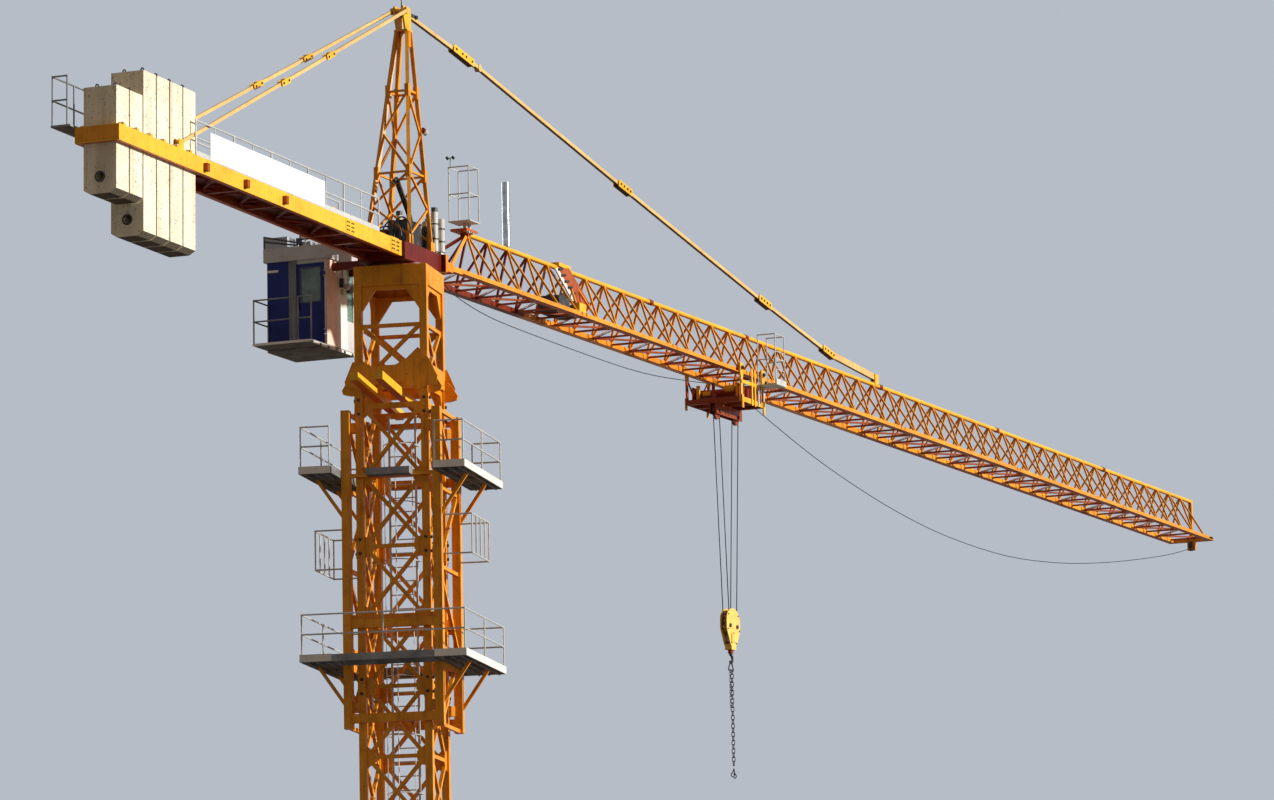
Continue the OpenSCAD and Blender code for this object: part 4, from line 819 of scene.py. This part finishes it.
for t in (0.36, 0.56):
    for side in (-1, 1):
        for y in (-0.028, 0.02):
            at = start_near + (anchor - start_near) * t
            points, faces = link_box(at, along, over, (-0.11, 0.11), (-0.03, 0.03), (y, y + link_thick))
            links.append((points * [1, side, 1], faces))
        for s in (-0.07, 0.07):
            middle = (start_near + (anchor - start_near) * t + s * along) * [1, side, 1]
            pins.append(rod(middle - [0, 0.036, 0], middle + [0, 0.036, 0], 0.013, 8))
piece_of("tie_link_plates", links, crane_top, yellow_steel)
piece_of("tie_link_pins", pins, crane_top, greased_bolts)

# The trolley's fittings: hub caps, upright channels on its sides, dark red inner plates and drums, yellow
# rope guides, sheave rims, stays and the basket's toe boards.


def on_trolley(points):
    """Points of the trolley's own frame, which starts under its middle, in the shared frame."""
    return on_jib(np.asarray(points, float) + [trolley_x, 0, 0])


def on_block(points):
    """Points of the hook block's own frame, which starts at its top, in the shared frame."""
    return np.asarray(points, float) + [hook_x, 0, hook_top]


trolley = ("trolley", on_trolley)
hook_block = ("hook_block", on_block)


def hoop(centre, radius, thick, around=20, sides=5):
    """A ring of round bar that stands upright across Y."""
    angle = np.arange(around) * 2 * math.pi / around
    line = np.stack([radius * np.cos(angle), 0 * angle, radius * np.sin(angle)], -1) + centre
    return tube_grid(line, thick, sides, closed=True)


plate_y = 0.346
rims = []
inner = []
channels = []
for side in (-1, 1):
    for end in (-0.345, 0.345):
        hub = [end, side * plate_y, 0.0253]
        rims += [rod(hub, [hub[0], side * (plate_y + 0.036), hub[2]], 0.024, 12),
                 rod(hub, [hub[0], side * (plate_y + 0.046), hub[2]], 0.012, 6)]
        channels.append(plate(hub[0] - 0.045, hub[0] + 0.045, side * 0.353, 0.009, -0.07, 0.085))
for x in (-0.06, 0.035):
    channels.append(box_part([x, -0.374, -0.4], [x + 0.034, -0.36, 0.05]))
for x in (-0.375, 0.31):
    channels += [box_part([x, -0.374, -0.46], [x + 0.05, -0.36, -0.3]),
                 box_part([x, 0.36, -0.44], [x + 0.05, 0.374, -0.3])]
channels.append(box_part([-0.37, -0.37, -0.16], [0.37, -0.36, -0.12]))
for side in (-1, 1):
    for x0, x1, low in ((-0.31, -0.13, -0.34), (-0.08, 0.09, -0.36), (0.14, 0.31, -0.34)):
        inner.append(plate(x0, x1, side * 0.3, 0.006, low, -0.16))
    for x in (0.1, 0.28):
        inner.append(plate(x, x + 0.02, side * 0.17, 0.12, -0.35, -0.18))
inner += [crosswise(-0.2, -0.24, -0.3, 0.3, 0.05, 16),
          crosswise(0.19, -0.22, -0.2, 0.2, 0.075, 16)]
machinery = []
for x, y, z, radius, length in (
        (-0.24, -0.16, -0.2, 0.045, 0.12), (-0.22, 0.14, -0.24, 0.035, 0.1), (0.0, -0.2, -0.28, 0.05, 0.1),
        (0.08, 0.18, -0.2, 0.04, 0.14), (0.24, -0.12, -0.3, 0.04, 0.08), (-0.1, -0.02, -0.3, 0.055, 0.06)):
    machinery.append(crosswise(x, z, y - length / 2, y + length / 2, radius, 14))
for x, y in ((-0.28, -0.27), (-0.12, -0.24), (0.05, -0.27), (0.2, -0.25), (-0.28, 0.24), (0.1, 0.26)):
    machinery.append(plate(x, x + 0.03, y, 0.02, -0.34, -0.14))
piece_of("trolley_rope_guides", machinery, trolley, yellow_steel)
grooves = []
for end in (-0.3, 0.3):
    for y in (-0.0125, 0.0125):
        grooves.append(hoop([end, y, sheave_z], 0.093, 0.0035, 28))
    grooves.append(crosswise(end, sheave_z, -0.06, 0.06, 0.022, 8))
piece_of("trolley_hub_caps", rims, trolley, greased_bolts)
piece_of("trolley_side_channels", channels, trolley, yellow_steel)
piece_of("trolley_inner_plates", inner, trolley, red_steel)
piece_of("trolley_sheave_rims", grooves, trolley, black_machine)
stays = []
for side, x in ((1, -0.375), (1, 0.315), (-1, 0.2)):
    stays.append(upright(x + 0.03, side * 0.367, 0.02, -0.34, 0.008, 6))
stays += [rod([-0.34, 0.366, -0.02], [-0.02, 0.366, -0.33], 0.01, 6),
          rod([0.34, 0.366, -0.02], [0.02, 0.366, -0.33], 0.01, 6)]
piece_of("trolley_stays", stays, trolley, red_steel)
basket_rails = []
for z in (0.06, 0.28):
    basket_rails.append(lengthwise(-0.595, z, 0.16, 0.46, 0.006, 6))
basket_rails += [box_part([0.15, -0.614, -0.13], [0.47, -0.61, -0.06]),
                 box_part([0.47, -0.61, -0.13], [0.474, -0.36, -0.06])]
piece_of("trolley_basket_toe_boards", basket_rails, trolley, pale_rail)

# The hook block's fittings: sheave rims, hub caps and cheek bolts in black, two yellow cheek weights, and
# the collar on which the hook turns.

block_parts = []
block_dark = []
for end in (-0.11, 0.11):
    for y in (-0.0125, 0.0125):
        block_dark.append(hoop([end, y, block_sheave_z], 0.093, 0.0035, 28))
    for y in (-1, 1):
        block_dark.append(crosswise(end, block_sheave_z, y * 0.044, y * 0.058, 0.026, 12))
for x, z in ((-0.15, -0.08), (0.15, -0.08), (-0.18, -0.26), (0.18, -0.26), (-0.08, -0.42), (0.08, -0.42),
             (0, -0.3)):
    block_dark.append(crosswise(x, z, -0.052, 0.052, 0.01, 6))
for y in (-1, 1):
    block_parts.append(plate(-0.075, 0.075, y * 0.05, 0.006, -0.41, -0.31))
piece_of("hook_block_cheek_weights", block_parts, hook_block, ("crane_paint", block_paint))
piece_of("hook_block_rims_and_bolts", block_dark, hook_block, black_machine)
neck = [upright(0, 0, -0.505, -0.535, 0.034, 20), upright(0, 0, -0.535, -0.55, 0.028, 20)]
piece_of("hook_thrust_collar", neck, ("hook", on_block), red_steel)

# The counter-jib's steelwork: splice plates with bolts, pole brackets outside the beams, an orange plate
# across its end as painted shade on the beams' end face, dark red cross bracing under the walkway, and the
# rails' toe boards and middle posts.

splices = []
splice_bolts = []
for x in (-1.735, -0.62):
    for side in (-1, 1):
        splices += [plate(x - 0.1, x + 0.1, side * 0.248, 0.003, 0.012, 0.153),
                    plate(x - 0.1, x + 0.1, side * 0.215, 0.028, 0.165, 0.172)]
        for dx in (-0.075, -0.035, 0.035, 0.075):
            for z in (0.04, 0.082, 0.125):
                splice_bolts.append(crosswise(x + dx, z, side * 0.25, side * 0.26, 0.009, 6))
for x in (-2.575, -2.07):
    for side in (-1, 1):
        splices.append(plate(x - 0.03, x + 0.03, side * 0.215, 0.006, 0.165, 0.235))
brackets = []
bracket_paint = weathered_paint("pole_bracket_paint", (176, 84, 20), (96, 46, 20), 1.2)
for x in (-5.12, -4.215, -3.315):
    for side in (-1, 1):
        outer = side * 0.268
        brackets += [plate(x - 0.026, x - 0.016, outer, 0.022, 0.03, 0.115),
                     plate(x + 0.016, x + 0.026, outer, 0.022, 0.03, 0.115),
                     plate(x - 0.026, x + 0.026, outer, 0.022, 0.03, 0.04),
                     box_part([x - 0.016, outer - 0.02, 0.04], [x + 0.016, outer - 0.012, 0.1])]
piece_of("counter_jib_pole_brackets", brackets, counter_jib, ("crane_paint", bracket_paint))
# An orange sheet over the yellow beams' end: painted shade, the deeper orange of that face in shade.
end_shade_plate = [box_part([-6.984, -0.243, 0.015], [-6.979, 0.243, 0.158])]
piece_of("counter_jib_end_shade_plate", end_shade_plate, counter_jib, orange_steel)
piece_of("counter_jib_splices", splices, counter_jib, yellow_steel)
piece_of("counter_jib_splice_bolts", splice_bolts, counter_jib, greased_bolts)
bracing = []
bay_ends = np.arange(-0.55, -6.9, -0.42)
for k in range(len(bay_ends) - 1):
    y = 0.185 if k % 2 else -0.185
    bracing.append(rod([bay_ends[k], y, 0.035], [bay_ends[k + 1], -y, 0.035], 0.017, 4))
    if bay_ends[k] > -5.1:
        bracing.append(box_part([bay_ends[k] - 0.018, -0.185, 0.05], [bay_ends[k] + 0.018, 0.185, 0.068]))
piece_of("counter_jib_bracing", bracing, counter_jib, red_steel)
toe = []
for side in (-1, 1):
    toe.append(plate(-5.3, -1.0, side * 0.243, 0.002, 0.166, 0.215))
    for x in np.arange(-5.3, -0.9, 0.43):
        toe.append(upright(x, side * 0.234, 0.165, 0.53, 0.006, 6))
piece_of("counter_jib_toe_boards", toe, counter_jib, pale_rail)

# The counterweights' fittings: bent bar lifting loops cast into the blocks' tops, yellow end caps on the
# hanger bars, and dark rings round the end blocks' holes as painted shade in the holes.

loops = []
caps = []
block_bend = np.linspace(0, math.pi, 9)
block_pitch = 0.29
for k in range(6):
    middle = -6.7835 + block_pitch * k
    high = 0.57 if k < 2 else 0.835
    for y in (-0.1, 0.1):
        arc = np.stack([middle + 0.035 * np.cos(block_bend), 0 * block_bend + y,
                        high + 0.02 + 0.035 * np.sin(block_bend)], -1)
        legs = np.vstack([[[middle + 0.035, y, high]], arc, [[middle - 0.035, y, high]]])
        loops.append(tube_grid(legs, 0.008, 6))
    hanger_x = -6.916 + block_pitch * k + 0.053
    for side in (-1, 1):
        caps.append(plate(hanger_x - 0.022, hanger_x + 0.022, side * 0.238, 0.006, 0.16, 0.19))
# Dark rings round the end blocks' holes: painted shade, which makes the holes look deeper and wider.
for x, z in ((-6.9165, -0.335), (-6.3365, -0.66)):
    for face in (0.0, 0.003):
        around = np.linspace(0, 2 * math.pi, 25)[:-1]
        rim = np.stack([x - face + 0 * around, 0.049 * np.cos(around), z + 0.049 * np.sin(around)], -1)
        loops.append(tube_grid(rim, 0.008, 6, closed=True))
piece_of("counterweight_loops", loops, counter_jib, black_machine)
piece_of("counterweight_hanger_caps", caps, counter_jib, yellow_steel)

# The hoist winch on the counter-jib: rope windings between two flanges, a motor in two steps and a gearbox
# plate, in grey enamel.

drum_x = -3.0
drum_z = 0.24
windings = [hoop([drum_x, y, drum_z], 0.1155, 0.0062, 24, 6) for y in np.arange(-0.138, 0.14, 0.0124)]
piece_of("hoist_drum_windings", windings, counter_jib, ("wire_rope", hoist_rope), smooth=True)
flanges = []
for y in (-0.15, 0.15):
    flanges.append(crosswise(drum_x, drum_z, y - 0.006, y + 0.006, 0.15, 28))
flanges += [lengthwise(-0.05, 0.28, -2.85, -2.62, 0.055, 16),
            lengthwise(-0.05, 0.28, -2.62, -2.56, 0.042, 16),
            box_part([-3.12, 0.16, 0.1], [-2.82, 0.18, 0.3])]
piece_of("hoist_winch_drive", flanges, counter_jib, ("walkway_grey", grey_enamel))

# The jib's fittings: the red cap at the top chord's root, collars and plates at the splices, the trolley
# winch's windings and drive, and the tip's rope sheave and buffers.

top_chord_z = 0.567
jib_bits = [lengthwise(0, top_chord_z, 1.735, 1.75, 0.048, 20)]
for x in (4.33, 7.0, 10.0, 14.6, 19.0, 23.4):
    jib_bits.append(lengthwise(0, top_chord_z, x - 0.05, x + 0.05, 0.034, 16))
    for side in (-1, 1):
        jib_bits += [plate(x - 0.07, x - 0.055, side * 0.278, 0.034, -0.034, 0.034),
                     plate(x + 0.055, x + 0.07, side * 0.278, 0.034, -0.034, 0.034)]
piece_of("jib_splice_collars", jib_bits, jib, red_steel)
drum_x = 4.24
drum_z = 0.1513
small_windings = [hoop([drum_x, y, drum_z], 0.0935, 0.0045) for y in np.arange(-0.08, 0.081, 0.009)]
piece_of("trolley_drum_windings", small_windings, jib, ("wire_rope", drive_rope), smooth=True)
winch_bits = [crosswise(drum_x, drum_z, y - 0.004, y + 0.004, 0.115, 24) for y in (-0.088, 0.088)]
winch_bits += [crosswise(4.36, 0.09, -0.1, -0.24, 0.05, 16),
               box_part([3.95, -0.1, 0.035], [4.08, 0.1, 0.2])]
piece_of("trolley_winch_drive", winch_bits, jib, black_machine)
tip_sheave_x = 27.33
tip_sheave_z = -0.09
tip_bits = [hoop([tip_sheave_x, y, tip_sheave_z], 0.07, 0.004) for y in (-0.012, 0.012)]
tip_bits.append(crosswise(tip_sheave_x, tip_sheave_z, -0.02, 0.02, 0.066, 20))
for side in (-1, 1):
    tip_bits.append(lengthwise(side * 0.325, 0.0, 27.25, 27.31, 0.02, 12))
piece_of("jib_tip_sheave", tip_bits, jib, black_machine)

# The decks of the climbing cage: pale kick boards along the outer edges, grating bars on the plates and
# stringers beneath.

kicks = []
grating = []
deck_half = 0.905
cage_half = 0.56
for z, reach_u in ((10.91, 0.875), (8.9, 0.905)):
    for side in (-1, 1):
        kicks.append(plate(-reach_u, reach_u, side * deck_half, 0.003, z - 0.072, z + 0.006))
        for end in (-1, 1):
            across = sorted([side * cage_half, side * deck_half])
            kicks.append(box_part([end * reach_u - 0.003, across[0], z - 0.072],
                                  [end * reach_u + 0.003, across[1], z + 0.006]))
        for u in np.arange(-reach_u + 0.05, reach_u - 0.03, 0.045):
            across = sorted([side * (cage_half + 0.01), side * (deck_half - 0.012)])
            grating.append(box_part([u, across[0], z], [u + 0.005, across[1], z + 0.012]))
        for v in (0.62, 0.73, 0.84):
            grating.append(plate(-reach_u + 0.02, reach_u - 0.02, side * v, 0.004, z - 0.088, z - 0.074))
piece_of("cage_deck_kick_boards", kicks, mast, ("rail_grey", white_enamel))
piece_of("cage_deck_grating", grating, mast, ("walkway_grey", walkway.material))

# The support's deep jacking plates: cut plates with an ear past each leg, on its front and rear, and plain
# plates between them on the sides.

deep_outline = np.array([[0.5, 11.83], [0.51, 11.88], [0.42, 12.09], [0.3, 12.09], [0.22, 12.04],
                         [-0.05, 12.04], [-0.18, 12.11], [-0.3, 12.22], [-0.42, 12.09], [-0.51, 11.9],
                         [-0.5, 11.8], [-0.4, 11.8], [-0.3, 11.76], [-0.12, 11.85], [0.12, 11.85],
                         [0.3, 11.76], [0.4, 11.8]])
corner_count = len(deep_outline)
ring = np.arange(corner_count)
deep = []
for end in (-1, 1):
    thick = [np.column_stack([np.full(corner_count, end * u), end * -deep_outline[:, 0],
                              deep_outline[:, 1]]) for u in (0.402, 0.41)]
    sides = np.stack([ring, np.roll(ring, -1), np.roll(ring, -1) + corner_count, ring + corner_count], -1)
    deep += [(np.vstack(thick), [ring[::-1].tolist(), (ring + corner_count).tolist(), *sides.tolist()]),
             plate(-0.33, 0.33, end * 0.406, 0.004, 11.85, 12.05)]
piece_of("support_deep_plates", deep, mast, orange_steel)

# The base: anchor bolts with nuts and washers on each foot plate, and stiffeners in the webs of the crossed
# beams.

base_corners = turn + np.radians([45, 135, 225, 315])
anchors = []
for corner in base_corners:
    middle = 1.03 * np.array([math.cos(corner), math.sin(corner)])
    for around in np.arange(8) * math.pi / 4 + math.pi / 8:
        x, y = middle + 0.15 * np.array([math.cos(around), math.sin(around)])
        if math.hypot(x, y) < 1.15:
            anchors += [upright(x, y, 0.02, 0.026, 0.02, 12),
                        upright(x, y, 0.026, 0.044, 0.0145, 6),
                        upright(x, y, 0.044, 0.062, 0.008, 8)]
stiffeners = []
for corner in base_corners:
    for reach in (0.465, 0.555, 0.9):
        for side in (-1, 1):
            low, high = sorted([side * 0.009, side * 0.075])
            points, faces = box_part([reach - 0.005, low, 0.021], [reach + 0.005, high, 0.329])
            x, y, z = points.T
            stiffeners.append((np.stack([x * math.cos(corner) - y * math.sin(corner),
                                         x * math.sin(corner) + y * math.cos(corner), z], -1), faces))
piece_of("base_web_stiffeners", stiffeners, tower, orange_steel)
piece_of("foot_anchor_nuts", anchors, tower, greased_bolts)

# The cab's fittings: a grey post and a white handle bar on the rear, a rosy and a white sheet on the side
# wall, window bars and a wiper in front, brackets and lamps at the side, the door's pane in its seal, a
# seat with two consoles inside, and a box, rails and white fittings on the roof.

cab_low = 12.385
cab_high = 13.33
cab_front = 0.6
rosy_sheet = weathered_paint("rosy_cab_sheet", (255, 222, 204), (190, 140, 120), 0.6)
blue_grey = weathered_paint("blue_grey_roof_sheet", (184, 194, 206), (120, 118, 116), 0.4)
rear_post = [box_part([-0.109, 1.172, cab_low], [-0.1, 1.262, cab_high])]
piece_of("cab_rear_post", rear_post, crane_top, ("cab_pale", grey_enamel))
cab_white = [box_part([-0.107, 1.39, 13.22], [-0.1, 1.52, 13.245]),
             box_part([0.155, 0.81, 12.39], [0.405, 0.815, 13.325])]
for x in np.arange(-0.46, 0.6, 0.2):
    cab_white.append(box_part([x, 0.803, 12.346], [x + 0.15, 0.814, 12.372]))
cab_white += [box_part([-0.1, 1.5255, 12.345], [cab_front, 1.529, cab_low]),
              box_part([cab_front, 0.82, 12.345], [0.604, 1.52, cab_low]),
              box_part([-0.479, 0.82, 12.362], [-0.475, 1.52, 12.388])]
piece_of("cab_white_sheets_and_strips", cab_white, crane_top, white_cab)
frame_bars = []
for y0, y1 in ((0.815, 0.835), (1.16, 1.18), (1.505, 1.525)):
    frame_bars.append(box_part([cab_front, y0, cab_low], [0.607, y1, cab_high]))
for z0, z1 in ((cab_low, 12.41), (12.72, 12.735), (13.305, cab_high)):
    frame_bars.append(box_part([cab_front, 0.835, z0], [0.606, 1.505, z1]))
piece_of("cab_front_window_bars", frame_bars, crane_top, white_cab)
wiper = [rod([0.612, 1.0, 12.76], [0.612, 1.12, 13.14], 0.005, 6),
         rod([0.614, 1.05, 12.84], [0.614, 1.15, 13.2], 0.004, 6),
         box_part([0.607, 0.97, 12.74], [0.625, 1.03, 12.78])]
piece_of("cab_window_wiper", wiper, crane_top, black_machine)
side_sheet = [box_part([-0.098, 0.811, 12.39], [0.15, 0.815, 13.325])]
piece_of("cab_rosy_sheet", side_sheet, crane_top, ("cab_pale", rosy_sheet))
arms = []
for x in np.arange(-0.31, 0.6, 0.2):
    arms.append(box_part([x, 0.8, 12.344], [x + 0.05, 0.814, 12.366]))
arms += [box_part([0.39, 0.77, 13.02], [0.45, 0.805, 13.1]),
         box_part([0.2, 0.76, 13.05], [0.24, 0.8, 13.15]),
         rod([0.22, 0.78, 13.15], [0.3, 0.812, 13.25], 0.006, 6)]
piece_of("cab_dark_brackets_and_lamps", arms, crane_top, black_machine)
lamps = [rod([0.32, 0.775, 13.08], [0.35, 0.765, 13.07], 0.035, 16),
         box_part([0.26, 0.78, 12.98], [0.31, 0.8, 13.04])]
piece_of("cab_work_lamps", lamps, crane_top, ("cab_pale", light_enamel))
door_y = 0.888
pane_width = 0.232
pane_low = 12.867
pane_high = 13.233
pane, _ = mottled("green_door_pane", (5.0, 3.0), (0.35, 0.7), (66, 92, 86), (120, 142, 130), Roughness=0.12)
door_pane = [box_part([-0.0948, door_y, pane_low], [-0.0938, door_y + pane_width, pane_high])]
piece_of("cab_door_pane", door_pane, ("cab_door", None), ("cab_glazing", pane.material))
seal = []
for low, high in (([door_y - 0.012, 12.855], [door_y + 0.244, pane_low]),
                  ([door_y - 0.012, pane_high], [door_y + 0.244, 13.245]),
                  ([door_y - 0.012, pane_low], [door_y, pane_high]),
                  ([door_y + pane_width, pane_low], [door_y + 0.244, pane_high])):
    seal.append(box_part([-0.103, *low], [-0.1, *high]))
piece_of("cab_door_pane_seal", seal, ("cab_door", None), black_machine)
seat_y = 1.16
inside = [box_part([0.12, 1.02, 12.52], [0.36, 1.3, 12.58]),
          box_part([0.1, 1.03, 12.58], [0.15, 1.29, 12.98]),
          box_part([0.11, 1.08, 12.99], [0.14, 1.24, 13.08]),
          upright(0.24, seat_y, 12.386, 12.52, 0.05, 12)]
for side in (-1, 1):
    inside += [plate(0.2, 0.44, seat_y + side * 0.21, 0.05, 12.386, 12.7),
               upright(0.36, seat_y + side * 0.21, 12.7, 12.8, 0.012)]
piece_of("cab_seat_and_consoles", inside, crane_top, black_machine)
roof_z = 13.48
roof_box = [box_part([-0.125, 1.27, roof_z], [0.2, 1.553, 13.6]),
            box_part([-0.1, 1.0, roof_z], [0.02, 1.14, 13.53])]
piece_of("cab_roof_box", roof_box, crane_top, ("cab_pale", blue_grey))
folded = [rod([-0.126, 1.55, 13.615], [-0.126, 1.14, 13.52], 0.009, 8),
          rod([-0.126, 1.55, 13.565], [-0.126, 1.14, 13.49], 0.009, 8),
          upright(-0.126, 1.545, 13.49, 13.61, 0.009, 8), upright(-0.1, 1.12, 13.485, 13.66, 0.012, 8),
          crosswise(-0.1, 13.56, 1.12, 0.95, 0.011, 8), box_part([-0.13, 1.1, 13.5], [-0.1, 1.16, 13.57])]
piece_of("cab_roof_folded_rails", folded, crane_top, black_machine)
roof_white = [upright(-0.1, 1.06, 13.485, 13.62, 0.011, 8),
              box_part([-0.13, 1.03, 13.56], [-0.09, 1.1, 13.6]),
              upright(-0.1, 0.9, 13.485, 13.6, 0.008, 8)]
piece_of("cab_roof_white_fittings", roof_white, crane_top, white_cab)

# The jib's root: a rusty cap plate with a row of pale clips under the small basket, and the wind gauge with
# its cups on the basket's top rail.

root_plate = [box_part([1.58, -0.1, 0.578], [1.87, 0.1, 0.602]),
              lengthwise(0, 0.55, 1.735, 1.742, 0.05, 20)]
rusty_paint = weathered_paint("rusty_cap_paint", (204, 92, 32), (120, 52, 24), 1.4)
piece_of("jib_root_cap_plate", root_plate, jib, ("crane_paint", rusty_paint))
clips = []
for k in range(5):
    x = 1.6 + 0.055 * k
    clips.append(box_part([x, -0.094, 0.57 - 0.012 * (k % 2)], [x + 0.03, -0.06, 0.59]))
piece_of("jib_root_pale_clips", clips, jib, ("rail_grey", light_enamel))
gauge_x = 1.6
gauge = [upright(gauge_x, 0.1, 14.55, 14.66, 0.006, 6), crosswise(gauge_x, 14.66, 0.06, 0.14, 0.004, 6)]
for y in (0.055, 0.125):
    gauge.append(rod([gauge_x, y, 14.648], [gauge_x, y + 0.02, 14.672], 0.016))
piece_of("wind_gauge", gauge, crane_top, black_machine)

# The screen over the trolley winch: a leaning red panel with a pale edge strip and dark rungs, a switch box
# and two yellow rope guides.

screen = [tilted_plate([[3.99, 13.79], [4.63, 13.39], [4.98, 13.51], [4.36, 13.85]], -0.1, 0.012)]
piece_of("winch_screen", screen, crane_top, ("crane_paint", floor_paint))
strip = [tilted_plate([[3.95, 13.78], [4.43, 13.48], [4.5, 13.5], [4.02, 13.8]], -0.115, 0.008)]
piece_of("winch_screen_edge", strip, crane_top, ("dark_machinery", white_enamel))
steps = []
for part in range(5):
    start = np.array([4.02 + 0.09 * part, -0.13, 13.78 - 0.056 * part])
    steps.append(rod(start, start + [0.1, 0, 0.02], 0.016, 8))
piece_of("winch_screen_rungs", steps, crane_top, black_machine)
switch_box = [box_part([3.72, -0.26, 13.3], [4.02, -0.16, 13.43])]
piece_of("winch_switch_box", switch_box, crane_top, black_machine)
guides = [box_part([4.28, -0.27, 13.33], [4.47, -0.21, 13.43]),
          box_part([4.22, -0.05, 13.86], [4.56, 0.05, 13.905])]
piece_of("winch_rope_guides", guides, crane_top, yellow_steel)

# The stage: a plain pale floor that bounces little, a plain pale tone behind, a soft key lamp from the
# right, a weak wide one from the far side and open shade.

floor_reach = 300
floor_z = -0.002
floor_corners = [(x * floor_reach, y * floor_reach, floor_z)
                 for x, y in ((-1, -1), (1, -1), (1, 1), (-1, 1))]
floor_mesh = bpy.data.meshes.new("floor")
floor_mesh.from_pydata(floor_corners, [], [(0, 1, 2, 3)])
floor = bpy.data.objects.new("floor", floor_mesh)
bpy.context.scene.collection.objects.link(floor)
pale_floor = Finish("pale_floor", Roughness=0.8)
floor_ray = pale_floor.node("ShaderNodeLightPath", {}, {}, "Is Camera Ray")
pale_floor.feed("Base Color", pale_floor.mix(floor_ray, plain(138, 134, 128), plain(206, 206, 204)))
floor_mesh.materials.append(pale_floor.material)

world = bpy.data.worlds.new("open_shade")
world.use_nodes = True
bpy.context.scene.world = world
sky = world.node_tree
back = sky.nodes["Background"]
back.inputs["Color"].default_value = (1.0, 0.75, 0.58, 1)
back.inputs["Strength"].default_value = 0.19
seen = sky.nodes.new("ShaderNodeBackground")
seen.inputs["Color"].default_value = (*plain(182, 189, 199), 1)
seen.inputs["Strength"].default_value = 1.0
rays = sky.nodes.new("ShaderNodeLightPath")
either = sky.nodes.new("ShaderNodeMath")
either.operation = "MAXIMUM"
any_ray = sky.nodes.new("ShaderNodeMath")
any_ray.operation = "MAXIMUM"
choose = sky.nodes.new("ShaderNodeMixShader")
sky.links.new(rays.outputs["Is Camera Ray"], either.inputs[0])
sky.links.new(rays.outputs["Is Glossy Ray"], either.inputs[1])
sky.links.new(either.outputs[0], any_ray.inputs[0])
sky.links.new(rays.outputs["Is Transmission Ray"], any_ray.inputs[1])
sky.links.new(any_ray.outputs[0], choose.inputs[0])
sky.links.new(back.outputs[0], choose.inputs[1])
sky.links.new(seen.outputs[0], choose.inputs[2])
sky.links.new(choose.outputs[0], sky.nodes["World Output"].inputs["Surface"])

for lamp_name, energy, spread, lamp_colour, toward in (
        ("soft_key", 4.5, 3, (1.0, 0.96, 0.88), (0.19, -0.88, 0.25)),
        ("far_side", 1.1, 30, (0.9, 0.95, 1.0), (0.62, 0.74, 0.25))):
    lamp_data = bpy.data.lights.new(lamp_name, "SUN")
    lamp_data.energy = energy
    lamp_data.angle = math.radians(spread)
    lamp_data.color = lamp_colour
    lamp_piece = bpy.data.objects.new(lamp_name, lamp_data)
    bpy.context.scene.collection.objects.link(lamp_piece)
    toward = np.array(toward) / np.linalg.norm(toward)
    lamp_side = np.cross([0, 0, 1.0], toward)
    lamp_side /= np.linalg.norm(lamp_side)
    lamp_place = np.eye(4)
    lamp_place[:3, :3] = np.stack([lamp_side, np.cross(toward, lamp_side), toward], -1)
    lamp_piece.matrix_world = lamp_place.T.tolist()
